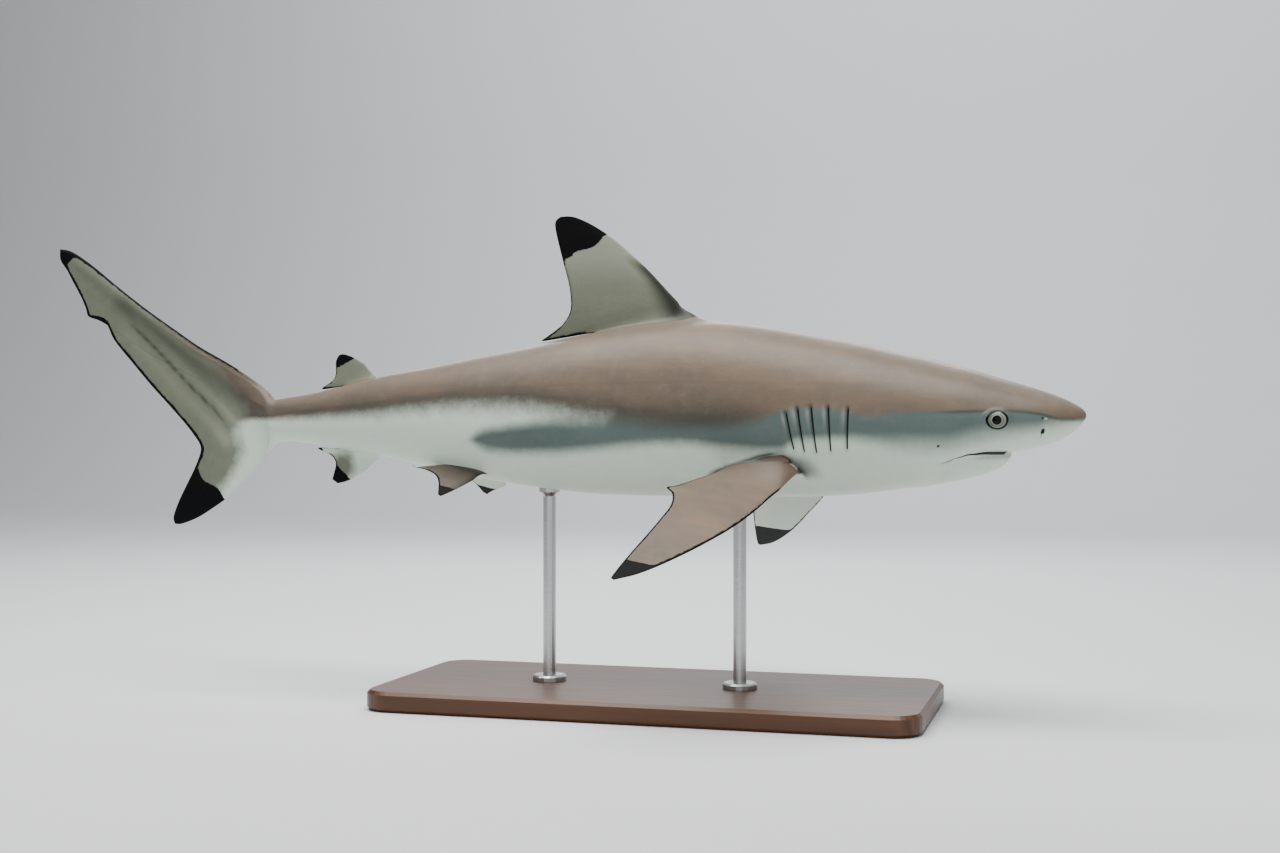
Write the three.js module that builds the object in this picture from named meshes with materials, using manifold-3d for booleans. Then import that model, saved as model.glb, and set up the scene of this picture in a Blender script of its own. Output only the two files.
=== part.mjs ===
// Blacktip reef shark (Carcharhinus melanopterus), life size, on a plain display stand.
//
// Frame: millimetres, +X toward the head, +Y toward the animal's left, +Z up, and the origin at the
// centre of the base's underside, on the floor. Every distance along the fish, called "back" below, is
// measured from the snout tip toward the tail, and every height on the fish is measured from the snout tip.

import * as THREE from 'three';
import { mergeVertices } from 'three/addons/utils/BufferGeometryUtils.js';
import Module from 'manifold-3d';

const wasm = await Module();
wasm.setup();

// ---------------------------------------------------------------- driving sizes

const SNOUT_X = 500;          // snout tip, ahead of the base's centre
const SNOUT_Z = 352;          // snout tip, above the floor
const CUT = 0.3;              // thin cut between neighbouring pieces
const EDGE = 0.5;             // half thickness of a fin's edge

const HEAD_END = 337;         // back of the head, just behind the fifth gill slit
const TRUNK_END = 842;        // back of the trunk, ahead of the second dorsal fin
const TAIL_ROOT = 1016;       // root of the tail fin

const EYE = { back: 97.2, height: -7.3, radius: 15.5, sink: 11 };

const SLITS = [               // gill slits: back at the top and at the bottom, height at the top and bottom
  { top: 256.8, foot: 258.7, high: 4.9, low: -41.7 },
  { top: 279.2, foot: 277.3, high: 6.7, low: -44.2 },
  { top: 298.6, foot: 293.8, high: 6.8, low: -45.7 },
  { top: 314.2, foot: 307.6, high: 5.9, low: -44.8 },
  { top: 328.4, foot: 319.2, high: 0.3, low: -41.9 },
];
const SLIT_WIDTH = 1.6;
const SLIT_DEPTH = 5;

const MOUTH = { front: 83, corner: 146, half: 54, back: 198, gap: 2.4 };
const NOSTRIL = { back: 46, side: 46, height: -21, wide: 2, deep: 4.5, tall: 5 };

const BASE = { long: 660, wide: 290, thick: 24, corner: 34, bevel: 4 };
const ROD = { radius: 8, foot: 21, footHigh: 7, pad: 13, padHigh: 9 };
const ROD_BACK = [400, 640];  // where the two rods stand, measured back from the snout tip

// Stations of the body: back, top, bottom, half width, height of the widest level, roundness above and below.
const STATIONS = [
  [0, -2.8, -2.8, 0, -2.8, 2.0, 2.0],
  [3, 3.6, -9.5, 12.5, -4, 2.0, 2.0],
  [12.6, 10.2, -20.3, 26.5, -7, 2.0, 2.1],
  [29, 18.2, -30.5, 41, -10, 2.0, 2.2],
  [51, 26.3, -38.5, 52, -12.5, 2.0, 2.6],
  [84, 36.7, -45.0, 61.5, -14, 2.0, 2.9],
  [107, 43.8, -48.5, 67, -14, 2.0, 3.0],
  [129, 50.9, -53.5, 72, -13, 2.0, 3.0],
  [150, 56.5, -61.5, 76, -12, 2.0, 2.9],
  [167, 61.3, -73, 78.5, -11, 2.0, 2.6],
  [188, 66.5, -84.2, 80.5, -10, 2.0, 2.4],
  [209.5, 71.4, -87.9, 82, -9, 2.0, 2.25],
  [256, 82.5, -94.2, 84, -7, 2.0, 2.2],
  [303, 91.4, -97.2, 84.5, -5, 2.0, 2.2],
  [351, 100.4, -98.7, 84, -3, 2.0, 2.2],
  [424, 109.6, -99.3, 83, -1, 2.0, 2.2],
  [475, 111.0, -99.2, 81.5, 0, 2.0, 2.2],
  [520, 107.5, -98.9, 79.5, 0, 2.0, 2.2],
  [575, 101.0, -97.6, 76, -1, 2.0, 2.15],
  [626, 91.5, -93.4, 71, -2, 2.0, 2.1],
  [679, 81.3, -87.3, 64, -3, 2.0, 2.1],
  [732, 72.5, -78.9, 56, -3, 2.0, 2.1],
  [786, 62.1, -67.8, 47, -2.5, 2.0, 2.05],
  [854, 50.8, -54.3, 36, -2, 2.0, 2.0],
  [910, 38.4, -45.2, 28, -3, 2.0, 2.0],
  [966, 26.6, -36.7, 22.5, -5, 2.0, 2.0],
  [995, 22.6, -34.0, 20.5, -6, 2.0, 2.0],
  [1016, 20.2, -36.2, 19.5, -8, 2.0, 2.0],
];

// The lower jaw: back, height of its lowest line.
const JAW = [
  [83, -50.5], [86, -56], [90, -59.4], [96, -62.9], [107, -67.6], [118, -71.1], [129, -74.6],
  [141, -77.2], [163, -81.9], [186, -85.4], [198, -86.4],
];

// ---------------------------------------------------------------- curves

// A curve through the points that never overshoots them (Fritsch and Carlson's slopes).
function smoothThrough(xs, ys) {
  const n = xs.length;
  const step = [], rise = [];
  for (let i = 0; i < n - 1; i++) {
    step.push(xs[i + 1] - xs[i]);
    rise.push((ys[i + 1] - ys[i]) / step[i]);
  }
  const slope = [rise[0]];
  for (let i = 1; i < n - 1; i++) {
    if (rise[i - 1] * rise[i] <= 0) { slope.push(0); continue; }
    const a = 2 * step[i] + step[i - 1], b = step[i] + 2 * step[i - 1];
    slope.push((a + b) / (a / rise[i - 1] + b / rise[i]));
  }
  slope.push(rise[n - 2]);
  return (x) => {
    let i = 0;
    while (i < n - 2 && x > xs[i + 1]) i++;
    const t = Math.min(Math.max((x - xs[i]) / step[i], 0), 1), t2 = t * t, t3 = t2 * t;
    return ys[i] * (2 * t3 - 3 * t2 + 1) + slope[i] * step[i] * (t3 - 2 * t2 + t)
      + ys[i + 1] * (3 * t2 - 2 * t3) + slope[i + 1] * step[i] * (t3 - t2);
  };
}

const smoothstep = THREE.MathUtils.smoothstep;
const mix = THREE.MathUtils.lerp;

// The body's curves run against the square root of the distance, which rounds the snout off.
const column = (table, k) => {
  const curve = smoothThrough(table.map((row) => Math.sqrt(row[0])), table.map((row) => row[k]));
  return (back) => curve(Math.sqrt(Math.max(back, 0)));
};
const body = {
  top: column(STATIONS, 1), bottom: column(STATIONS, 2), half: column(STATIONS, 3),
  mid: column(STATIONS, 4), roundTop: column(STATIONS, 5), roundFoot: column(STATIONS, 6),
};

// One point of the body's cross-section, at an angle from the left side up, grown outward by "grow".
function sectionPoint(back, angle, grow = 0) {
  const c = Math.cos(angle), s = Math.sin(angle);
  const mid = body.mid(back), half = body.half(back) + grow;
  const up = s >= 0;
  const tall = (up ? body.top(back) - mid : mid - body.bottom(back)) + grow;
  const power = 2 / (up ? body.roundTop(back) : body.roundFoot(back));
  return new THREE.Vector3(
    SNOUT_X - back,
    half * Math.sign(c) * Math.abs(c) ** power,
    SNOUT_Z + mid + tall * Math.sign(s) * Math.abs(s) ** power,
  );
}

// Half width of the body at a height above the snout tip.
function sideAt(back, height) {
  const mid = body.mid(back), up = height >= mid;
  const tall = up ? body.top(back) - mid : mid - body.bottom(back);
  const round = up ? body.roundTop(back) : body.roundFoot(back);
  const r = Math.min(Math.abs(height - mid) / tall, 1);
  return body.half(back) * (1 - r ** round) ** (1 / round);
}

// ---------------------------------------------------------------- meshes and solids

function geometryOf(points, faces) {
  const g = new THREE.BufferGeometry();
  g.setAttribute('position', new THREE.Float32BufferAttribute(points.flatMap((p) => [p.x, p.y, p.z]), 3));
  g.setIndex(faces.flat());
  return g;
}

// A closed tube through rings of points, one ring per station, with a flat cap at each end.
function tube(rings) {
  const n = rings[0].length, points = rings.flat(), faces = [];
  for (let r = 0; r < rings.length - 1; r++) {
    for (let k = 0; k < n; k++) {
      const a = r * n + k, b = r * n + (k + 1) % n, c = a + n, d = b + n;
      faces.push([a, b, d], [a, d, c]);
    }
  }
  const cap = (first, reverse) => {
    const centre = new THREE.Vector3();
    for (let k = 0; k < n; k++) centre.add(points[first + k]);
    points.push(centre.divideScalar(n));
    const hub = points.length - 1;
    for (let k = 0; k < n; k++) {
      const a = first + k, b = first + (k + 1) % n;
      faces.push(reverse ? [hub, a, b] : [hub, b, a]);
    }
  };
  cap(0, false);
  cap((rings.length - 1) * n, true);
  return geometryOf(points, faces);
}

const AROUND = 32;

// A length of the body, from one distance back to another.
function bodyLength(from, to, steps, grow = 0, bend = 1) {
  const rings = [];
  for (let i = 0; i <= steps; i++) {
    const back = from + (to - from) * (i / steps) ** bend;
    rings.push(Array.from({ length: AROUND }, (_, k) => sectionPoint(back, (2 * Math.PI * k) / AROUND, grow)));
  }
  return tube(rings);
}

// A blade: two faces on either side of a middle surface, closed by walls on its four sides.
function blade(surface, along, across) {
  const points = [], faces = [], wide = across + 1;
  for (const side of [1, -1]) {
    for (let i = 0; i <= along; i++) {
      for (let j = 0; j <= across; j++) points.push(surface(i / along, j / across, side));
    }
  }
  const far = (along + 1) * wide;
  const at = (i, j) => i * wide + j;
  const quad = (a, b, c, d) => faces.push([a, b, c], [a, c, d]);
  for (let i = 0; i < along; i++) {
    for (let j = 0; j < across; j++) {
      quad(at(i, j), at(i + 1, j), at(i + 1, j + 1), at(i, j + 1));
      quad(far + at(i, j), far + at(i, j + 1), far + at(i + 1, j + 1), far + at(i + 1, j));
    }
    quad(at(i, 0), far + at(i, 0), far + at(i + 1, 0), at(i + 1, 0));
    quad(at(i, across), at(i + 1, across), far + at(i + 1, across), far + at(i, across));
  }
  for (let j = 0; j < across; j++) {
    quad(at(0, j), at(0, j + 1), far + at(0, j + 1), far + at(0, j));
    quad(at(along, j), far + at(along, j), far + at(along, j + 1), at(along, j + 1));
  }
  return geometryOf(points, faces);
}

const volumeOf = (g) => {
  const p = g.getAttribute('position'), idx = g.getIndex().array;
  const a = new THREE.Vector3(), b = new THREE.Vector3(), c = new THREE.Vector3();
  let sum = 0;
  for (let i = 0; i < idx.length; i += 3) {
    a.fromBufferAttribute(p, idx[i]); b.fromBufferAttribute(p, idx[i + 1]); c.fromBufferAttribute(p, idx[i + 2]);
    sum += a.dot(b.cross(c)) / 6;
  }
  return sum;
};

// Turn a closed geometry into a solid, with its faces pointing out.
function solid(geometry) {
  let g = geometry.index ? geometry.clone() : mergeVertices(geometry);
  g.deleteAttribute('normal');
  g.deleteAttribute('uv');
  g = mergeVertices(g, 1e-4);
  const index = Array.from(g.getIndex().array);
  if (volumeOf(g) < 0) {
    for (let i = 0; i < index.length; i += 3) [index[i], index[i + 1]] = [index[i + 1], index[i]];
  }
  return new wasm.Manifold(new wasm.Mesh({
    numProp: 3,
    vertProperties: new Float32Array(g.getAttribute('position').array),
    triVerts: new Uint32Array(index),
  }));
}

function geometryFrom(manifold) {
  const m = manifold.getMesh();
  const g = new THREE.BufferGeometry();
  g.setAttribute('position', new THREE.Float32BufferAttribute(m.vertProperties, 3));
  g.setIndex(Array.from(m.triVerts));
  return g;
}

// A geometry moved to its place, as a solid.
function placed(geometry, position, rotation = [0, 0, 0], scale = [1, 1, 1]) {
  const m = new THREE.Matrix4().compose(
    new THREE.Vector3(...position), new THREE.Quaternion().setFromEuler(new THREE.Euler(...rotation)),
    new THREE.Vector3(...scale));
  return solid(geometry.clone().applyMatrix4(m));
}

const onFish = (back, y, height) => new THREE.Vector3(SNOUT_X - back, y, SNOUT_Z + height);

// ---------------------------------------------------------------- fins

// Ribs run from the leading edge to the trailing edge: [front, front span, rear, rear span, thickness].
function ribsAt(ribs, t) {
  const x = t * (ribs.length - 1), i = Math.min(Math.floor(x), ribs.length - 2), f = x - i;
  const at = (k) => ribs[Math.min(Math.max(k, 0), ribs.length - 1)];
  return ribs[0].map((_, k) => {
    const p = at(i - 1)[k], q = at(i)[k], r = at(i + 1)[k], s = at(i + 2)[k];
    return 0.5 * (2 * q + (r - p) * f + (2 * p - 5 * q + 4 * r - s) * f * f + (3 * q - p - 3 * r + s) * f ** 3);
  });
}

// Half thickness across a fin's chord: a blunt front, fullest a third of the way back, a thin rear.
function foil(chord, thickness) {
  const full = Math.sqrt(chord) * (1 - chord) ** 1.15 * 1.95;
  return Math.max((thickness / 2) * full, EDGE);
}

function fin(ribs, place, along, across) {
  return blade((t, chord, side) => {
    const eased = chord * chord * (1 - chord) + chord * chord * chord + chord * (1 - chord) * 0.5;
    const u = mix(chord, eased, 0.6);
    const [c0, h0, c1, h1, thick] = ribsAt(ribs, t);
    return place(mix(c0, c1, u), mix(h0, h1, u), side * foil(u, thick));
  }, along, across);
}

const upright = (c, h, n) => onFish(c, n, h);

// A paired fin's plane: it droops outward, its chord tilts, and the whole blade swings forward.
// Its root settles at the rear by "settle", where the chord lies flatter against the body.
function pairedPlane({ back, side, height, droop, tilt, swing = 0, settle = 0 }, left) {
  const hand = left ? 1 : -1;
  const d = THREE.MathUtils.degToRad(droop), t = THREE.MathUtils.degToRad(tilt);
  const chordDir = new THREE.Vector3(-Math.cos(t), 0, Math.sin(t));
  const spanDir = new THREE.Vector3(0, hand * Math.cos(d), -Math.sin(d));
  const normal = new THREE.Vector3().crossVectors(chordDir, spanDir).normalize();
  if (normal.z < 0) normal.negate();
  const turn = new THREE.Matrix4().makeRotationAxis(normal, THREE.MathUtils.degToRad(-swing) * hand);
  const root = onFish(back, hand * side, height);
  return (c, w, n) => {
    const p = chordDir.clone().multiplyScalar(c).addScaledVector(spanDir, w).addScaledVector(normal, n);
    p.applyMatrix4(turn).add(root);
    p.z -= settle * (Math.max(c, 0) / 85) * (1 - Math.min(Math.max(w, 0) / 60, 1)) ** 1.5;
    return p;
  };
}

const FIRST_DORSAL = [
  [440, 84, 560, 80, 20], [449, 117, 583, 97.5, 17], [461, 123.5, 630, 92.5, 14.5],
  [472, 131, 651, 90, 12.5], [484, 143, 642, 96.5, 11], [497, 157, 622, 111.5, 9.5],
  [513, 174, 612.5, 130, 8], [531, 191, 614.5, 157, 6.5], [552, 209.5, 622, 186, 5],
  [573, 224.5, 629, 213, 3.8], [590, 234.5, 632.5, 229, 2.8], [606, 241.5, 632, 238, 2],
  [617, 243.5, 626, 243, 1.4],
];
const SECOND_DORSAL = [
  [862, 30, 915, 22, 7], [870, 52, 921, 34, 6], [877, 57, 950, 31.5, 5], [886, 62.5, 947, 35.5, 4.2],
  [895, 68, 934, 43.5, 3.4], [904, 72.5, 929.5, 53, 2.6], [913, 76, 929.5, 68, 1.9], [920, 77.5, 925, 76.5, 1.3],
];
const ANAL = [
  [854, -34, 915, -28, 7], [862, -54.5, 921, -42, 6], [870, -59, 956, -41.5, 5], [880, -65, 951, -45.5, 4.2],
  [889, -71.5, 936, -52, 3.4], [901, -79, 929.5, -62, 2.7], [914, -85, 932, -74, 2], [927, -88, 934.5, -83, 1.3],
];
const PECTORAL = [
  [-24, -26, 56, -26, 21], [-17, 0, 66, 2, 17], [-9, 24, 86, 46, 15], [-2, 42, 110, 80, 13],
  [7, 66, 122, 91, 11.5], [17, 97, 113, 101, 10.2], [30, 130, 109, 124, 9], [45, 161, 113, 152, 7.8],
  [68, 202, 119, 186, 6.2], [93, 241, 127, 226, 4.6], [112, 266, 132, 254, 3.2], [127, 280, 135, 273, 2.2],
  [133, 285, 136, 283, 1.5],
];
const PELVIC = [
  [-14, -36, 62, -34, 13], [-8, -28, 72, -24, 11], [-2, -21, 90, -12.5, 9.5], [4, -13, 104.5, -2, 8],
  [10, -3, 100, 4, 6.8], [17, 8, 84, 4.5, 5.6], [25, 22, 68, 10, 4.4], [33, 35, 58.5, 21, 3.3],
  [40, 45, 53, 35, 2.4], [45, 51, 49, 48, 1.6],
];
// Where each paired fin's root is, and how its blade is held. The left ones are held a little differently.
const PECTORAL_RIGHT = { back: 333, side: 61, height: -66, droop: 28, tilt: 12, settle: 12 };
const PECTORAL_LEFT = { back: 327, side: 61, height: -66, droop: 31, tilt: 18, swing: 3, settle: 12, bow: [12, 60, 45] };
const PELVIC_RIGHT = { back: 708, side: 36, height: -80, droop: 32, tilt: 10 };
const PELVIC_LEFT = { back: 708, side: 36, height: -80, droop: 37, tilt: 10, bow: [15, 18, 16] };

// The ribs with their leading edge bowed forward by an amount, round one place along the span.
const bowed = (ribs, [amount, middle, width] = [0, 0, 1]) => ribs.map(([c, w, ...rest]) => [
  c - amount * Math.exp(-(((w - middle) / width) ** 2)), w, ...rest]);

// The tail fin's four sides. The dorsal and ventral margins run from the root to the tips, and the rear
// margin runs from the upper tip, past the notch and the fork, to the lower tip.
const curve2 = (pts) => {
  const c = new THREE.CatmullRomCurve3(pts.map(([a, b]) => new THREE.Vector3(a, b, 0)), false, 'centripetal');
  return (t) => c.getPoint(t);
};
const TAIL_TOP = [
  [1016, 20.2], [1025, 30.5], [1048, 46.5], [1084, 67.5], [1127, 90], [1161, 111.5], [1205, 140],
  [1250, 172], [1290, 202], [1322, 221], [1338, 224],
];
const TAIL_FOOT = [
  [1016, -36.2], [1022, -43.5], [1033, -57.5], [1048, -75], [1065, -91.5], [1087, -109.5], [1108, -123],
  [1128, -134.5], [1146, -141.5], [1156, -144], [1163, -143.5],
];
const TAIL_REAR = [
  [1338, 224], [1337.5, 210], [1327, 195], [1317, 178], [1305, 158], [1298, 143], [1294, 132.5],
  [1269, 125], [1255, 101], [1227, 70], [1197, 38], [1167, 8.6], [1137, -23], [1123.5, -44], [1131, -66],
  [1144, -90], [1157, -114], [1165, -136], [1163, -143.5],
];
const FORK = 13 / 18;         // where the fork falls along the rear margin
const tailTop = curve2(TAIL_TOP), tailFoot = curve2(TAIL_FOOT), tailRear = curve2(TAIL_REAR);

// Share of the root's height that belongs to the lobe above the fork.
const ROOT_SPLIT = 0.64;
const rootShare = (v) => (v < FORK ? (v / FORK) * ROOT_SPLIT : ROOT_SPLIT + ((v - FORK) / (1 - FORK)) * (1 - ROOT_SPLIT));

// A point of the tail fin's middle plane: u from the root to the rear margin, v from the top down.
function tailPoint(u, v) {
  const rootZ = mix(TAIL_TOP[0][1], TAIL_FOOT[0][1], rootShare(v));
  const left = new THREE.Vector3(TAIL_ROOT, rootZ, 0);
  const a = tailTop(u), b = tailFoot(u), r = tailRear(v);
  const w = rootShare(v);
  const corners = tailTop(0).multiplyScalar((1 - u) * (1 - w)).addScaledVector(tailFoot(0), (1 - u) * w)
    .addScaledVector(tailTop(1), u * (1 - w)).addScaledVector(tailFoot(1), u * w);
  return a.multiplyScalar(1 - w).addScaledVector(b, w).addScaledVector(left, 1 - u).addScaledVector(r, u).sub(corners);
}

// Half thickness of the tail fin: the stalk's section at the root, then a ridge along the upper lobe.
function tailHalf(u, v) {
  const rootZ = mix(TAIL_TOP[0][1], TAIL_FOOT[0][1], rootShare(v));
  const stalk = sideAt(TAIL_ROOT, rootZ);
  const ridge = mix(17, 1.2, Math.min(u * 1.02, 1) ** 0.42) * Math.exp(-(((v - 0.2) / 0.19) ** 2));
  const web = mix(2.6, 0.7, u) * Math.sqrt(Math.min(v, 1 - v) * 6 > 1 ? 1 : Math.min(v, 1 - v) * 6);
  const thin = Math.max(ridge * Math.min(1, v * 9), web, EDGE);
  return Math.max(mix(stalk, thin, smoothstep(u, 0, 0.24)), EDGE);
}

const tailBlade = (v0, v1, along, across) => blade((u, k, side) => {
  const v = mix(v0, v1, k), p = tailPoint(u, v);
  return onFish(p.x, side * tailHalf(u, v), p.y);
}, along, across);

// ---------------------------------------------------------------- colours

const skin = (hex) => new THREE.MeshStandardMaterial({ color: hex, roughness: 0.5, metalness: 0 });
const BROWN = skin(0x7d7468), PALE = skin(0xc9cdbf), FIN = skin(0x7b7f78);
const IRIS = new THREE.MeshStandardMaterial({ color: 0x8f9a92, roughness: 0.15, metalness: 0 });
const WOOD = new THREE.MeshStandardMaterial({ color: 0x5b3d28, roughness: 0.45, metalness: 0 });
const STEEL = new THREE.MeshStandardMaterial({ color: 0xb4b7ba, roughness: 0.3, metalness: 1 });

const group = new THREE.Group();
function add(name, geometry, material) {
  const mesh = new THREE.Mesh(geometry, material);
  mesh.name = name;
  group.add(mesh);
  return mesh;
}

// ---------------------------------------------------------------- the fish

const wholeSkin = solid(bodyLength(0.6, TAIL_ROOT + 1, 40, CUT, 1.5));
const tidy = (manifold) => geometryFrom(manifold);

// Eyes sit in sockets cut in the sides of the head.
const eyeSpot = (hand, grow) => {
  const y = hand * (sideAt(EYE.back, EYE.height) - EYE.sink);
  const centre = onFish(EYE.back, y, EYE.height);
  return placed(new THREE.SphereGeometry(EYE.radius + grow, 14, 10), centre.toArray());
};
const gillCut = (hand, slit) => {
  const middle = (slit.top + slit.foot) / 2, height = (slit.high + slit.low) / 2;
  const y = hand * sideAt(middle, height);
  const tall = Math.hypot(slit.high - slit.low, slit.top - slit.foot);
  const lean = Math.atan2(slit.top - slit.foot, slit.high - slit.low);
  return placed(new THREE.BoxGeometry(SLIT_WIDTH, SLIT_DEPTH * 2, tall),
    onFish(middle, y, height).toArray(), [0, -lean, 0]);
};
const nostrilCut = (hand) => placed(new THREE.SphereGeometry(1, 8, 6),
  onFish(NOSTRIL.back, hand * NOSTRIL.side, NOSTRIL.height).toArray(),
  [0, 0.2, 0], [NOSTRIL.wide, NOSTRIL.deep, NOSTRIL.tall]);

let head = solid(bodyLength(0.6, HEAD_END - CUT / 2, 20, 0, 1.7));
for (const hand of [1, -1]) {
  head = head.subtract(eyeSpot(hand, CUT)).subtract(nostrilCut(hand));
  for (const slit of SLITS) head = head.subtract(gillCut(hand, slit));
  add(hand > 0 ? 'eye_left' : 'eye_right', tidy(eyeSpot(hand, 0)), IRIS);
}

// The lower jaw: a lobe with a rounded front, under the palate, that runs back into the throat.
const jawLine = smoothThrough(JAW.map((row) => row[0]), JAW.map((row) => row[1]));
function jawHalf(back) {
  const lead = Math.min(Math.max((MOUTH.corner - back) / (MOUTH.corner - MOUTH.front + 0.4), 0), 1);
  return mix(MOUTH.half, sideAt(MOUTH.back, -60), smoothstep(back, MOUTH.corner, MOUTH.back))
    * Math.sqrt(1 - lead * lead);
}
const jawRings = [];
for (let i = 0; i <= 11; i++) {
  const back = MOUTH.front + (MOUTH.back - MOUTH.front) * (i / 11) ** 1.6;
  const half = jawHalf(back), foot = jawLine(back), roof = -30;
  jawRings.push(Array.from({ length: 16 }, (_, k) => {
    const a = (2 * Math.PI * k) / 16, s = Math.sin(a), c = Math.cos(a);
    const tall = s > 0 ? 14 : -44 - foot;
    return onFish(back, half * Math.sign(c) * Math.abs(c) ** 0.8, Math.min(-44, roof) + tall * Math.sign(s) * Math.abs(s) ** 0.8);
  }));
}
const mouthRoof = solid(bodyLength(0.6, HEAD_END, 20, MOUTH.gap, 1.7));
const jaw = solid(tube(jawRings)).subtract(
  placed(new THREE.BoxGeometry(110, 220, 160), onFish(MOUTH.corner + 4 - 55, 0, -45 + 0).toArray()).intersect(mouthRoof))
  .subtract(solid(bodyLength(0.6, HEAD_END, 20, CUT, 1.7)));
add('lower_jaw', tidy(jaw), PALE);
add('head', tidy(head), BROWN);
add('trunk', tidy(solid(bodyLength(HEAD_END + CUT / 2, TRUNK_END - CUT / 2, 16))), BROWN);
add('tail_stalk', tidy(solid(bodyLength(TRUNK_END + CUT / 2, TAIL_ROOT - CUT / 2, 7))), BROWN);

add('first_dorsal_fin', tidy(solid(fin(FIRST_DORSAL, upright, 16, 7)).subtract(wholeSkin)), FIN);
add('second_dorsal_fin', tidy(solid(fin(SECOND_DORSAL, upright, 10, 5)).subtract(wholeSkin)), FIN);
add('anal_fin', tidy(solid(fin(ANAL, upright, 10, 5)).subtract(wholeSkin)), FIN);
for (const left of [true, false]) {
  const side = left ? 'left' : 'right';
  const arm = left ? PECTORAL_LEFT : PECTORAL_RIGHT, leg = left ? PELVIC_LEFT : PELVIC_RIGHT;
  add(`pectoral_fin_${side}`,
    tidy(solid(fin(bowed(PECTORAL, arm.bow), pairedPlane(arm, left), 16, 7)).subtract(wholeSkin)), FIN);
  add(`pelvic_fin_${side}`,
    tidy(solid(fin(bowed(PELVIC, leg.bow), pairedPlane(leg, left), 10, 5)).subtract(wholeSkin)), FIN);
}

const tailStop = placed(new THREE.BoxGeometry(100, 200, 400), onFish(TAIL_ROOT - 50 + CUT / 2, 0, 0).toArray());
add('tail_fin_upper', tidy(solid(tailBlade(0, FORK - 0.003, 13, 14)).subtract(tailStop)), FIN);
add('tail_fin_lower', tidy(solid(tailBlade(FORK + 0.003, 1, 10, 7)).subtract(tailStop)), FIN);

// ---------------------------------------------------------------- the stand

const outline = new THREE.Shape();
const hx = BASE.long / 2 - BASE.bevel, hy = BASE.wide / 2 - BASE.bevel, r = BASE.corner - BASE.bevel;
outline.moveTo(-hx + r, -hy).lineTo(hx - r, -hy).absarc(hx - r, -hy + r, r, -Math.PI / 2, 0, false)
  .lineTo(hx, hy - r).absarc(hx - r, hy - r, r, 0, Math.PI / 2, false)
  .lineTo(-hx + r, hy).absarc(-hx + r, hy - r, r, Math.PI / 2, Math.PI, false)
  .lineTo(-hx, -hy + r).absarc(-hx + r, -hy + r, r, Math.PI, 1.5 * Math.PI, false);
const board = new THREE.ExtrudeGeometry(outline, {
  depth: BASE.thick - 2 * BASE.bevel, bevelEnabled: true, bevelThickness: BASE.bevel, bevelSize: BASE.bevel,
  bevelSegments: 1, curveSegments: 4,
});
add('stand_base', tidy(placed(board, [0, 0, BASE.bevel])), WOOD);

ROD_BACK.forEach((back, i) => {
  const foot = BASE.thick + CUT, high = SNOUT_Z + body.bottom(back) + 22;
  const padFrom = SNOUT_Z + body.bottom(back) - ROD.padHigh;
  const profile = [[0, foot], [ROD.foot, foot], [ROD.foot, foot + ROD.footHigh - 2], [ROD.foot - 2, foot + ROD.footHigh],
    [ROD.radius, foot + ROD.footHigh], [ROD.radius, padFrom], [ROD.pad, padFrom + 5], [ROD.pad, high], [0, high]]
    .map(([a, b]) => new THREE.Vector2(a, b));
  const lathe = new THREE.LatheGeometry(profile, 18);
  const rod = placed(lathe, [SNOUT_X - back, 0, 0], [Math.PI / 2, 0, 0]);
  add(i === 0 ? 'stand_rod_front' : 'stand_rod_rear', tidy(rod.subtract(wholeSkin)), STEEL);
});

export default group;
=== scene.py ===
"""A still, life-size blacktip reef shark on a plain display stand."""
import logging
import math
from collections.abc import Callable, Sequence
from dataclasses import dataclass, field
from enum import Enum

import bmesh
import bpy
import numpy as np
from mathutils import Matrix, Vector


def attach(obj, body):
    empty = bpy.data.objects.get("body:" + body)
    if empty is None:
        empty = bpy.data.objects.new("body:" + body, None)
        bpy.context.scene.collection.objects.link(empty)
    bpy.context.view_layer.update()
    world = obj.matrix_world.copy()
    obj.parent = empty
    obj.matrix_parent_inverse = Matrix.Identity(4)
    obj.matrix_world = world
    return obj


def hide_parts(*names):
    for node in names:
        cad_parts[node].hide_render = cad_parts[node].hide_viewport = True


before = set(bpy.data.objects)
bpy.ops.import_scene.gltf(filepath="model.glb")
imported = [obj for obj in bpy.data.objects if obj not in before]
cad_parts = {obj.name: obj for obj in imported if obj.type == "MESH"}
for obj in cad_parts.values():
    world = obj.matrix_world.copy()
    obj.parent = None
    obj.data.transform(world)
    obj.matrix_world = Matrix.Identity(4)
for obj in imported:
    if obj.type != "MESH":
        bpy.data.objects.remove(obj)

Array = np.ndarray
LOG = logging.getLogger("shark")
BODY = "root"
SNOUT_X, SNOUT_Z = 500.0, 352.0      # snout tip in the row frame, mm
MM = 0.001
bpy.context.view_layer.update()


class Slot(Enum):
    """The record's material slots."""

    SKIN = "skin"
    EYE = "eye"
    WOOD = "wood"
    STEEL = "steel"


# ------------------------------------------------------------------ curves

def smooth(x: Array | float, low: float, high: float) -> Array:
    """Smooth step of x, 0 at low and 1 at high."""
    t = np.clip((np.asarray(x, float) - low) / (high - low), 0, 1)
    return t * t * (3 - 2 * t)


def blend(a: Array | float, b: Array | float, t: Array | float) -> Array:
    """Straight blend from a to b."""
    return a + (b - a) * t


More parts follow.
